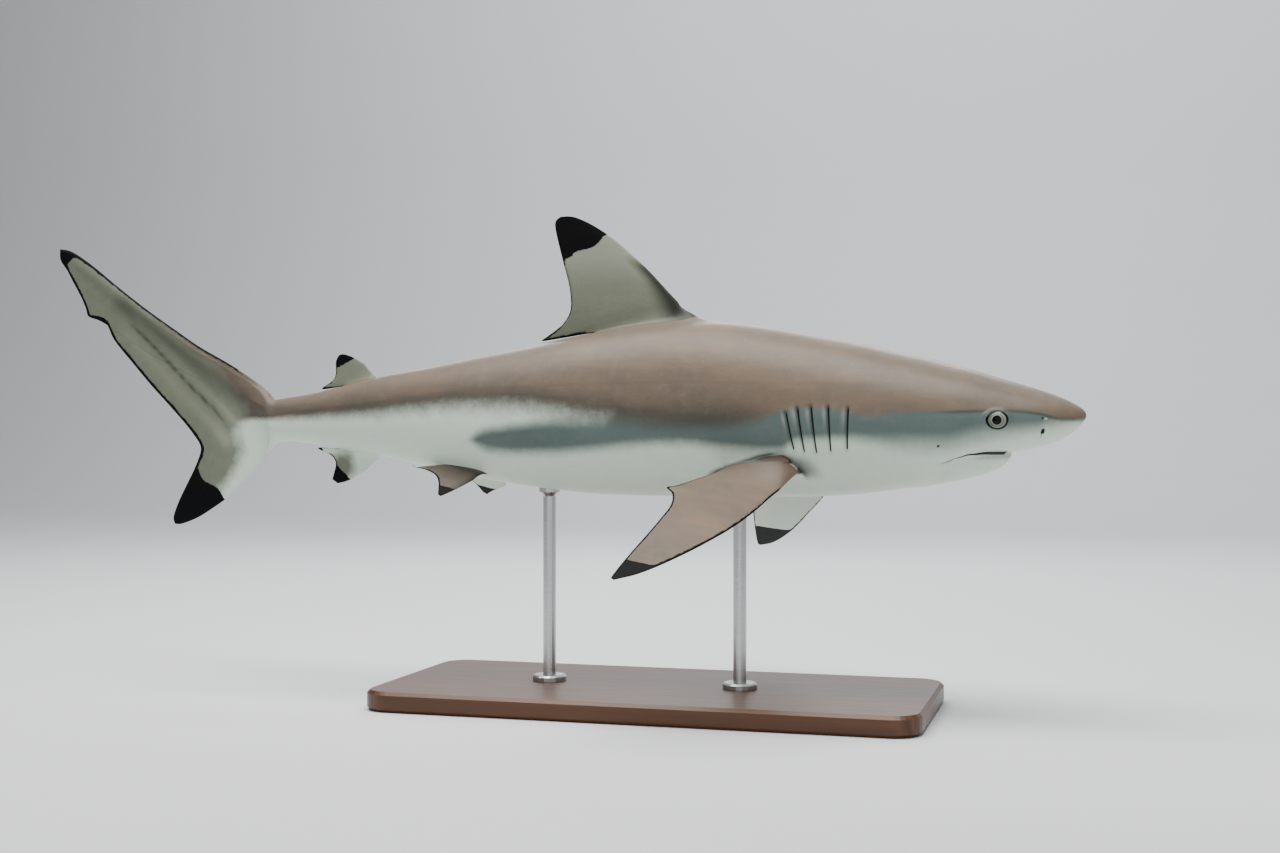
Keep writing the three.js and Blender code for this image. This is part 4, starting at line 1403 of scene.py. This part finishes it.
    def mesh(self, points: Array, faces: Array, places: Array, masks: dict[str, Array]) -> bpy.types.Object:
        """Makes the mesh object.

        Args:
            points: (n, 3) points in mm, heights from the snout tip.
            faces: (m, 4) vertex numbers; a repeated number makes a triangle.
            places: (m, 4, 3) texture places in mm with their patch.
            masks: Per-vertex masks.

        Returns:
            The object, linked to the scene.
        """
        world = (points + np.array([0, 0, SNOUT_Z])) * MM
        uv = packed(places)
        polygons, corners = [], []
        for quad, place in zip(faces.tolist(), uv.tolist()):
            keep = [k for k in range(4) if quad[k] != quad[k - 1]]
            if len(keep) >= 3:
                polygons.append([quad[k] for k in keep])
                corners.extend(place[k] for k in keep)
        data = bpy.data.meshes.new("shark_skin")
        data.from_pydata(world.tolist(), [], polygons)
        layer = data.uv_layers.new(name="OFBake")
        layer.data.foreach_set("uv", np.array(corners, np.float32).ravel())
        for name, values in masks.items():
            attribute = data.attributes.new(name, "FLOAT", "POINT")
            attribute.data.foreach_set("value", np.asarray(values, np.float32))
        work = bmesh.new()
        work.from_mesh(data)
        loose = [v for v in work.verts if not v.link_faces]
        bmesh.ops.delete(work, geom=loose, context="VERTS")
        bmesh.ops.recalc_face_normals(work, faces=work.faces)
        open_edges = sum(1 for edge in work.edges if len(edge.link_faces) != 2)
        LOG.info("skin: %d faces, %d open edges", len(work.faces), open_edges)
        work.to_mesh(data)
        work.free()
        data.shade_smooth()
        piece = bpy.data.objects.new("shark_skin", data)
        bpy.context.scene.collection.objects.link(piece)
        return piece


# ------------------------------------------------------------------ shader maths

class Value:
    """A node's socket that takes part in arithmetic."""

    def __init__(self, sheet: "Sheet", socket: bpy.types.NodeSocket) -> None:
        """Wraps a socket."""
        self.sheet, self.socket = sheet, socket

    def math(self, operation: str, *others: "Value | float", first: bool = True) -> "Value":
        """Adds a Math node.

        Args:
            operation: The node's operation.
            others: Its other inputs.
            first: Whether this value is the first input.

        Returns:
            The result.
        """
        inputs = [self, *others] if first else [*others, self]
        return self.sheet.value("ShaderNodeMath", {"operation": operation}, dict(enumerate(inputs)))

    def __add__(self, other: "Value | float") -> "Value":
        """Sum."""
        return self.math("ADD", other)

    __radd__ = __add__

    def __mul__(self, other: "Value | float") -> "Value":
        """Product."""
        return self.math("MULTIPLY", other)

    __rmul__ = __mul__

    def __sub__(self, other: "Value | float") -> "Value":
        """Difference."""
        return self.math("SUBTRACT", other)

    def __rsub__(self, other: "Value | float") -> "Value":
        """Difference the other way round."""
        return self.math("SUBTRACT", other, first=False)

    def __truediv__(self, other: "Value | float") -> "Value":
        """Quotient."""
        return self.math("DIVIDE", other)

    def __pow__(self, other: "Value | float") -> "Value":
        """Power."""
        return self.math("POWER", other)

    def most(self, other: "Value | float") -> "Value":
        """The greater of two."""
        return self.math("MAXIMUM", other)

    def least(self, other: "Value | float") -> "Value":
        """The smaller of two."""
        return self.math("MINIMUM", other)

    def held(self) -> "Value":
        """Held between 0 and 1."""
        return self.most(0.0).least(1.0)

    def step(self, low: float, high: float) -> "Value":
        """Smooth step from low to high.

        Args:
            low: Where it starts.
            high: Where it ends.

        Returns:
            A value from 0 to 1.
        """
        return self.sheet.value("ShaderNodeMapRange", {"interpolation_type": "SMOOTHSTEP"},
                                {0: self, 1: low, 2: high, 3: 0.0, 4: 1.0})


class Sheet:
    """A material's node tree with one method that makes any node."""

    def __init__(self, name: str) -> None:
        """Makes an empty material.

        Args:
            name: The material's name.
        """
        self.material = bpy.data.materials.new(name)
        self.material.use_nodes = True
        self.tree = self.material.node_tree
        self.tree.nodes.clear()

    def node(self, kind: str, settings: dict | None = None, inputs: dict | None = None) -> bpy.types.Node:
        """Makes a node, its settings first and then its inputs.

        Args:
            kind: The node's type.
            settings: Values of its properties; "stops" sets a colour ramp.
            inputs: Values or links of its sockets, by name or number.

        Returns:
            The node.
        """
        made = self.tree.nodes.new(kind)
        for key, value in (settings or {}).items():
            if key == "stops":
                ramp = made.color_ramp
                while len(ramp.elements) < len(value):
                    ramp.elements.new(0.5)
                for element, (place, colour) in zip(ramp.elements, value):
                    element.position, element.color = place, colour
            else:
                setattr(made, key, value)
        for key, value in (inputs or {}).items():
            socket = made.inputs[key]
            if isinstance(value, Value):
                self.tree.links.new(value.socket, socket)
            elif isinstance(value, bpy.types.NodeSocket):
                self.tree.links.new(value, socket)
            else:
                socket.default_value = value
        return made

    def value(self, kind: str, settings: dict | None = None, inputs: dict | None = None,
              output: int | str = 0) -> Value:
        """Makes a node and wraps one output."""
        return Value(self, self.node(kind, settings, inputs).outputs[output])

    def mask(self, name: str) -> Value:
        """A per-vertex mask of the mesh."""
        return self.value("ShaderNodeAttribute", {"attribute_name": name}, output="Fac")

    def place(self, scale: tuple[float, float, float] = (1, 1, 1)) -> bpy.types.NodeSocket:
        """The surface point in the row frame, stretched.

        Args:
            scale: Stretch of each axis.

        Returns:
            A vector socket.
        """
        point = self.node("ShaderNodeTexCoord").outputs["Object"]
        return self.node("ShaderNodeMapping", {}, {"Vector": point, "Scale": scale}).outputs[0]

    def noise(self, scale: float, detail: float = 3.0, roughness: float = 0.55,
              at: bpy.types.NodeSocket | None = None) -> Value:
        """Noise centred on 0, from about -1 to 1.

        Args:
            scale: Its scale per metre.
            detail: Its octaves.
            roughness: Its roughness.
            at: Where it is read.

        Returns:
            The value.
        """
        raw = self.value("ShaderNodeTexNoise", {}, {
            "Vector": at or self.place(), "Scale": scale, "Detail": detail, "Roughness": roughness})
        return (raw - 0.5) * 2.4

    def mix(self, factor: Value | float, a: object, b: object, way: str = "MIX") -> bpy.types.NodeSocket:
        """Mixes two colours.

        Args:
            factor: 0 for a, 1 for b.
            a: A colour or socket.
            b: A colour or socket.
            way: The blend type.

        Returns:
            A colour socket.
        """
        made = self.node("ShaderNodeMix", {"data_type": "RGBA", "blend_type": way}, {0: factor, 6: a, 7: b})
        return made.outputs[2]

    def bump(self, height: Value, strength: float, distance: float,
             under: bpy.types.NodeSocket | None = None) -> bpy.types.NodeSocket:
        """A bump of the surface.

        Args:
            height: The height, about 0 to 1.
            strength: How strong.
            distance: How tall, in metres.
            under: A normal that it adds to.

        Returns:
            A normal socket.
        """
        inputs: dict = {"Height": height, "Strength": strength, "Distance": distance}
        if under is not None:
            inputs["Normal"] = under
        return self.node("ShaderNodeBump", {}, inputs).outputs[0]

    def finish(self, settings: dict) -> bpy.types.Material:
        """Ends the tree in a surface shader.

        Args:
            settings: Inputs of the surface shader.

        Returns:
            The material.
        """
        shader = self.node("ShaderNodeBsdfPrincipled", {}, settings)
        self.node("ShaderNodeOutputMaterial", {}, {"Surface": shader.outputs[0]})
        return self.material


def rgb(red: int, green: int, blue: int) -> tuple[float, float, float, float]:
    """A linear colour from the usual 0 to 255 values."""
    line = [v / 255 for v in (red, green, blue)]
    return (*(v / 12.92 if v <= 0.04045 else ((v + 0.055) / 1.055) ** 2.4 for v in line), 1.0)


@dataclass(frozen=True)
class SkinFinish:
    """Satin painted skin: brown back, a darker flank band that is partly painted shade, pale belly, grey
    fins and black tips, with painted shade and highlights from the masks.
    """

    back: tuple[float, ...] = rgb(104, 92, 80)
    back_warm: tuple[float, ...] = rgb(119, 100, 84)
    back_cool: tuple[float, ...] = rgb(84, 78, 71)
    # The back's darker tone low on the flank: partly its own colour, partly painted shade.
    back_dark_tone_and_shade: tuple[float, ...] = rgb(56, 56, 53)
    # The flank band's colours: partly the skin's own tone, partly painted shade of the side turned from the
    # light.
    slate: tuple[float, ...] = rgb(76, 92, 90)
    slate_deep: tuple[float, ...] = rgb(55, 69, 69)
    belly: tuple[float, ...] = rgb(208, 220, 205)
    belly_shade: tuple[float, ...] = rgb(186, 204, 190)
    web: tuple[float, ...] = rgb(98, 104, 92)
    web_light: tuple[float, ...] = rgb(122, 126, 108)
    ink: tuple[float, ...] = rgb(4, 4, 6)
    # Near-black of painted shade in slits, pits, creases, the mouth's gap and the eye socket.
    furrow: tuple[float, ...] = rgb(8, 9, 10)

    def make(self) -> bpy.types.Material:
        """Builds the material."""
        s = Sheet("painted_skin")
        wide, mottle = s.noise(9, 3), s.noise(70, 4, 0.62)
        grain, jag = s.noise(420, 3, 0.6), s.noise(240, 4, 0.65)
        streak = s.noise(60, 3, 0.55, s.place((0.18, 1, 1)))
        soft = s.mask("soft")

        belly = s.mix((mottle * 0.35 + 0.4).held(), self.belly, self.belly_shade)
        # The flank band: a darker, cooler copy of the back, partly its own colour and partly painted shade
        # of the side turned from the light.
        edge = s.mask("slate") + mottle * 2.0 + jag * 0.5 + streak * 1.2
        slate = (edge / soft * 0.5 + 0.5).held()
        slate = slate * slate * (3.0 - slate * 2.0)
        dark = s.mix((wide * 0.5 + 0.45 + streak * 0.22).held(), self.slate, self.slate_deep)
        colour = s.mix(slate * 0.94, belly, dark)
        fleck = (jag - 0.45).step(0.0, 0.25) * slate * (1.0 - slate) * 1.2
        colour = s.mix(fleck.held(), colour, self.slate_deep)

        brown = (s.mask("brown") / s.mask("brown_soft") * 0.5 + mottle * 0.16 + jag * 0.08 + 0.5).held()
        brown = brown * brown * (3.0 - brown * 2.0)
        tan = s.mix((wide * 0.8 + streak * 0.5 + 0.5).held(), self.back_warm, self.back_cool)
        tan = s.mix((streak * 0.9 + mottle * 0.5 + 0.4).held(), tan, self.back)
        # Darker brown low on the flank: partly its own tone, partly painted shade.
        tan = s.mix((s.mask("dusk") * (1.0 + streak * 0.3)).held() * 0.85, tan, self.back_dark_tone_and_shade)
        colour = s.mix(brown, colour, tan)

        web = ((s.mask("web") + mottle * 2.2) / 7.0 + 0.5).held()
        membrane = s.mix((mottle * 0.45 + wide * 0.3 + 0.45).held(), self.web_light, self.web)
        colour = s.mix(web, colour, membrane)

        speck = (grain * 0.5 + 0.5).held()
        colour = s.mix(0.10, colour, s.mix(speck, (0.25, 0.25, 0.25, 1), (1.0, 1.0, 1.0, 1)), "SOFT_LIGHT")
        # The shade mask paints shade below zero, darkening toward grey, and highlight above zero, lightening
        # toward pale cream.
        shade = s.mask("shade") + mottle * 0.06
        colour = s.mix((shade * -0.75).held(), colour, s.mix(1.0, colour, rgb(96, 96, 96), "MULTIPLY"))
        colour = s.mix((shade * 0.6).held(), colour, rgb(228, 226, 212))
        # Painted shade: gill slits, nostril, pores, the mouth's gap, the corner's furrow and the folds by
        # the pectoral root go near-black.
        furrow = s.mask("furrow").step(0.15, 0.5)
        lip = s.mask("lip")
        mouth = lip.step(0.15, 0.6) * (1.0 - (lip - s.mask("gape")).step(-0.3, 0.3))
        seam = (1.0 - (s.mask("seam_at") * 0.9).math("ABSOLUTE")).held() * s.mask("seam")
        folds = (s.mask("fold_at") * 1.3).math("SINE").step(0.2, 0.95) * s.mask("fold")
        furrow = furrow.most(mouth).most(seam * 0.85).most(folds * 0.6)
        colour = s.mix(furrow * 0.95, colour, self.furrow)
        # Painted shade: the eye socket's rim and inside go near-black.
        colour = s.mix(s.mask("inner").step(0.25, 0.8), colour, self.furrow)
        ink = ((s.mask("ink") + jag * 1.2 + mottle) / 0.9 + 0.5).held()
        colour = s.mix(ink, colour, self.ink)

        scales = s.value("ShaderNodeTexVoronoi", {"feature": "F1"}, {
            "Vector": s.place((0.55, 1, 1)), "Scale": 1500.0})
        normal = s.bump(scales, 0.22, 0.00022)
        normal = s.bump(1.0 - folds, 0.6, 0.0008, normal)
        normal = s.bump(s.noise(260, 4, 0.6), 0.25, 0.0004, normal)
        normal = s.bump(s.noise(45, 3, 0.5, s.place((0.25, 1, 1))), 0.25, 0.0012, normal)
        rough = (mottle * 0.04 + grain * 0.03 + furrow * 0.25 + ink * 0.2 + 0.44).held()
        return s.finish({"Base Color": colour, "Roughness": rough, "Normal": normal, "IOR": 1.45,
                         "Specular IOR Level": 0.12, "Coat Weight": (1.0 - ink) * (1.0 - furrow) * 0.24,
                         "Coat Roughness": 0.32, "Subsurface Weight": 0.0})


@dataclass(frozen=True)
class EyeFinish:
    """A glass eye: round black pupil, pale ringed iris, clear front, and a dark edge painted as the lid's
    shadow.
    """

    pupil: float = 5.2
    iris: float = 10.0
    limit: float = 11.6

    def make(self) -> bpy.types.Material:
        """Builds the material."""
        s = Sheet("glass_eye")
        ring = s.mask("ring")
        vein = s.noise(900, 4, 0.7)
        edge = ring + vein * 0.16
        pale = s.mix((vein * 0.5 + 0.5).held(), rgb(150, 158, 138), rgb(96, 108, 94))
        mid = edge.step(6.4, 6.9) * (1.0 - edge.step(7.4, 8.0))
        colour = s.mix(mid * 0.6, pale, rgb(58, 68, 60))
        colour = s.mix(1.0 - edge.step(self.pupil - 0.25, self.pupil + 0.25), colour, rgb(4, 5, 6))
        # Outside the iris the ball is painted near-black: painted shadow of the lid's fold round it.
        colour = s.mix(edge.step(self.iris - 0.3, self.iris + 0.3), colour, rgb(16, 18, 20))
        colour = s.mix(edge.step(self.limit, self.limit + 0.6), colour, rgb(30, 32, 34))
        normal = s.bump(s.noise(500, 3), 0.06, 0.0002)
        return s.finish({"Base Color": colour, "Roughness": (0.10 + vein * 0.02).held(), "Normal": normal,
                         "IOR": 1.45, "Specular IOR Level": 0.12, "Coat Weight": 0.12,
                         "Coat Roughness": 0.02, "Coat IOR": 1.45})


@dataclass(frozen=True)
class WoodFinish:
    """Dark oiled hardwood, its grain along the base."""

    def make(self) -> bpy.types.Material:
        """Builds the material."""
        s = Sheet("oiled_wood")
        at = s.place((1.0, 7.0, 7.0))
        swirl = s.noise(2.2, 4, 0.55, at)
        ring = s.value("ShaderNodeTexWave", {"wave_type": "BANDS", "bands_direction": "Y"}, {
            "Vector": s.place((0.6, 20.0, 20.0)), "Scale": 1.6, "Distortion": 4.0, "Detail": 3.0,
            "Detail Scale": 1.4})
        pore = s.noise(160, 3, 0.7, s.place((0.06, 1, 1)))
        tone = (ring * 0.45 + swirl * 0.25 + 0.3).held()
        colour = s.mix(tone, rgb(46, 28, 18), rgb(96, 60, 37))
        colour = s.mix((pore - 0.35).step(0.0, 0.5) * 0.6, colour, rgb(34, 20, 13))
        normal = s.bump(pore, 0.2, 0.0003)
        return s.finish({"Base Color": colour, "Roughness": (0.36 + pore * 0.07 + tone * 0.05).held(),
                         "Normal": normal, "Specular IOR Level": 0.3, "Coat Weight": 0.1,
                         "Coat Roughness": 0.25})


@dataclass(frozen=True)
class SteelFinish:
    """Brushed steel, turned round the rods."""

    def make(self) -> bpy.types.Material:
        """Builds the material."""
        s = Sheet("brushed_steel")
        line = s.noise(700, 3, 0.6, s.place((0.05, 0.05, 1)))
        cloud = s.noise(30, 3)
        colour = s.mix((line * 0.4 + 0.5).held(), rgb(176, 178, 180), rgb(206, 207, 207))
        normal = s.bump(line, 0.15, 0.0001)
        return s.finish({"Base Color": colour, "Metallic": 1.0, "Normal": normal,
                         "Roughness": (0.30 + line * 0.05 + cloud * 0.04).held()})


# ------------------------------------------------------------------ the other parts

@dataclass
class Eye:
    """One eyeball in its socket."""

    left: bool
    back: float = 94.6
    height: float = -8.1
    flat: float = 1.11
    radius: float = 15.5
    sink: float = 11.8

    def build(self, form: BodyForm) -> bpy.types.Object:
        """Builds the eyeball: a ball whose rings run round its outward axis.

        Args:
            form: The body, which gives the socket's place.

        Returns:
            The object.
        """
        hand = 1.0 if self.left else -1.0
        side = float(form.side(np.array(self.back), np.array(self.height))) - self.sink
        rings, around = 40, 64
        polar = np.concatenate([[0.0], np.linspace(0.02, 0.98, rings) ** 1.15 * math.pi, [math.pi]])
        points, ring = [], []
        for a in polar:
            n = 1 if a in (0.0, math.pi) else around
            for k in range(n):
                b = 2 * math.pi * k / around
                r = self.radius * math.sin(a)
                points.append((SNOUT_X - self.back + r * math.cos(b),
                               hand * (side + self.radius * math.cos(a)),
                               SNOUT_Z + self.height + r * math.sin(b) / self.flat))
                oval = 1 / self.flat + (1 - 1 / self.flat) * float(smooth(r, 5, 9))
                ring.append(math.hypot(r * math.cos(b), r * math.sin(b) * oval) if a < math.pi / 2
                            else 2 * self.radius - r)
        faces = []
        for i in range(len(polar) - 1):
            for k in range(around):
                m = (k + 1) % around
                if i == 0:
                    faces.append((0, 1 + k, 1 + m))
                elif i == len(polar) - 2:
                    base = 1 + (i - 1) * around
                    faces.append((base + k, len(points) - 1, base + m))
                else:
                    a0, b0 = 1 + (i - 1) * around, 1 + i * around
                    faces.append((a0 + k, b0 + k, b0 + m, a0 + m))
        name = "eyeball_left" if self.left else "eyeball_right"
        data = bpy.data.meshes.new(name)
        data.from_pydata([tuple(v * MM for v in p) for p in points], [], faces)
        attribute = data.attributes.new("ring", "FLOAT", "POINT")
        attribute.data.foreach_set("value", np.array(ring, np.float32))
        work = bmesh.new()
        work.from_mesh(data)
        bmesh.ops.recalc_face_normals(work, faces=work.faces)
        work.to_mesh(data)
        work.free()
        data.shade_smooth()
        piece = bpy.data.objects.new(name, data)
        bpy.context.scene.collection.objects.link(piece)
        return piece


@dataclass
class Stand:
    """The base and rods of the display stand, carried over from the CAD."""

    def dress(self) -> None:
        """Gives the stand its wood and steel."""
        wood, steel = WoodFinish().make(), SteelFinish().make()
        for name, finish, slot in (("stand_base", wood, Slot.WOOD), ("stand_rod_front", steel, Slot.STEEL),
                                   ("stand_rod_rear", steel, Slot.STEEL)):
            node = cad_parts[name]
            if not node.material_slots:
                node.data.materials.append(finish)
            for place in node.material_slots:
                place.material = finish
            LOG.info("%s dressed as %s", name, slot.value)


@dataclass
class Studio:
    """Floor, backdrop, lights and camera."""

    eye: tuple[float, float, float] = (0.53425, -1.94691, 0.33677)
    azimuth: float = 16.0
    lens: float = 46.89

    def sweep(self) -> None:
        """A pale floor that curves up into a backdrop."""
        profile = [(-9.0, -0.0005), (3.6, -0.0005)]
        profile += [(3.6 + 1.6 * math.sin(a), 1.6 - 1.6 * math.cos(a) - 0.0005)
                    for a in np.linspace(0.1, math.pi / 2, 14)]
        profile += [(5.2, 6.0)]
        verts = [(x, y, z) for y, z in profile for x in (-9.0, 9.0)]
        faces = [(2 * k, 2 * k + 1, 2 * k + 3, 2 * k + 2) for k in range(len(profile) - 1)]
        data = bpy.data.meshes.new("studio_sweep")
        data.from_pydata(verts, [], faces)
        data.shade_smooth()
        sheet = Sheet("studio_paper")
        tone = (sheet.noise(3.0, 2) * 0.2 + 0.5).held()
        data.materials.append(sheet.finish({
            "Base Color": sheet.mix(tone, (0.62, 0.63, 0.64, 1), (0.66, 0.67, 0.68, 1)), "Roughness": 0.9}))
        floor = bpy.data.objects.new("studio_sweep", data)
        bpy.context.scene.collection.objects.link(floor)

    def lamp(self, name: str, at: tuple[float, float, float], aim: tuple[float, float, float],
             size: tuple[float, float], power: float, tint: tuple[float, float, float]) -> None:
        """Adds one soft box.

        Args:
            name: Its name.
            at: Where it hangs.
            aim: What it points at.
            size: Its width and height.
            power: Its power in watts.
            tint: Its colour.
        """
        light = bpy.data.lights.new(name, "AREA")
        light.shape, light.size, light.size_y = "RECTANGLE", size[0], size[1]
        light.energy, light.color = power, tint
        lamp = bpy.data.objects.new(name, light)
        lamp.location = at
        lamp.rotation_euler = (Vector(aim) - Vector(at)).to_track_quat("-Z", "Y").to_euler()
        lamp.visible_camera = False
        bpy.context.scene.collection.objects.link(lamp)

    def build(self) -> None:
        """Sets the whole studio up."""
        self.sweep()
        middle = (-0.1, 0.0, 0.33)
        self.lamp("overhead_box", (-0.15, -0.35, 2.3), middle, (2.6, 1.5), 118, (1.0, 0.99, 0.96))
        self.lamp("front_fill", (0.9, -3.0, 1.0), middle, (3.0, 2.0), 16, (0.96, 0.98, 1.0))
        self.lamp("rear_strip", (-0.6, 2.2, 1.7), middle, (2.4, 0.8), 34, (0.97, 0.98, 1.0))
        self.lamp("backdrop_wash", (0.0, 2.2, 3.6), (0.0, 4.6, 1.4), (5.0, 1.0), 170, (0.98, 0.99, 1.0))
        world = bpy.data.worlds.new("studio_air")
        world.use_nodes = True
        air = world.node_tree.nodes["Background"]
        air.inputs[0].default_value = (0.80, 0.83, 0.86, 1)
        air.inputs[1].default_value = 0.38
        bpy.context.scene.world = world
        data = bpy.data.cameras.new("camera")
        data.sensor_fit, data.sensor_width, data.lens = "HORIZONTAL", 36.0, self.lens
        data.clip_start, data.clip_end = 0.05, 60.0
        camera = bpy.data.objects.new("camera", data)
        a = math.radians(self.azimuth)
        camera.location = self.eye
        camera.rotation_euler = Vector((-math.sin(a), math.cos(a), 0)).to_track_quat("-Z", "Y").to_euler()
        bpy.context.scene.collection.objects.link(camera)
        bpy.context.scene.camera = camera


def main() -> None:
    """Builds the model piece by piece."""
    logging.basicConfig(level=logging.INFO, format="%(message)s")
    Studio().build()
    skin = Skin()
    hide = skin.build()
    hide.data.materials.append(SkinFinish().make())
    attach(hide, BODY)
    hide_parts("head", "lower_jaw", "trunk", "tail_stalk", "tail_fin_upper", "tail_fin_lower",
                *(fin.name for fin in skin.fins))
    LOG.info("skin: %d vertices", len(hide.data.vertices))
    glass = EyeFinish().make()
    for left in (False, True):
        ball = Eye(left).build(skin.form)
        ball.data.materials.append(glass)
        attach(ball, BODY)
        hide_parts("eye_left" if left else "eye_right")
        LOG.info("%s: %d vertices", ball.name, len(ball.data.vertices))
    Stand().dress()


if __name__ == "__main__":
    main()
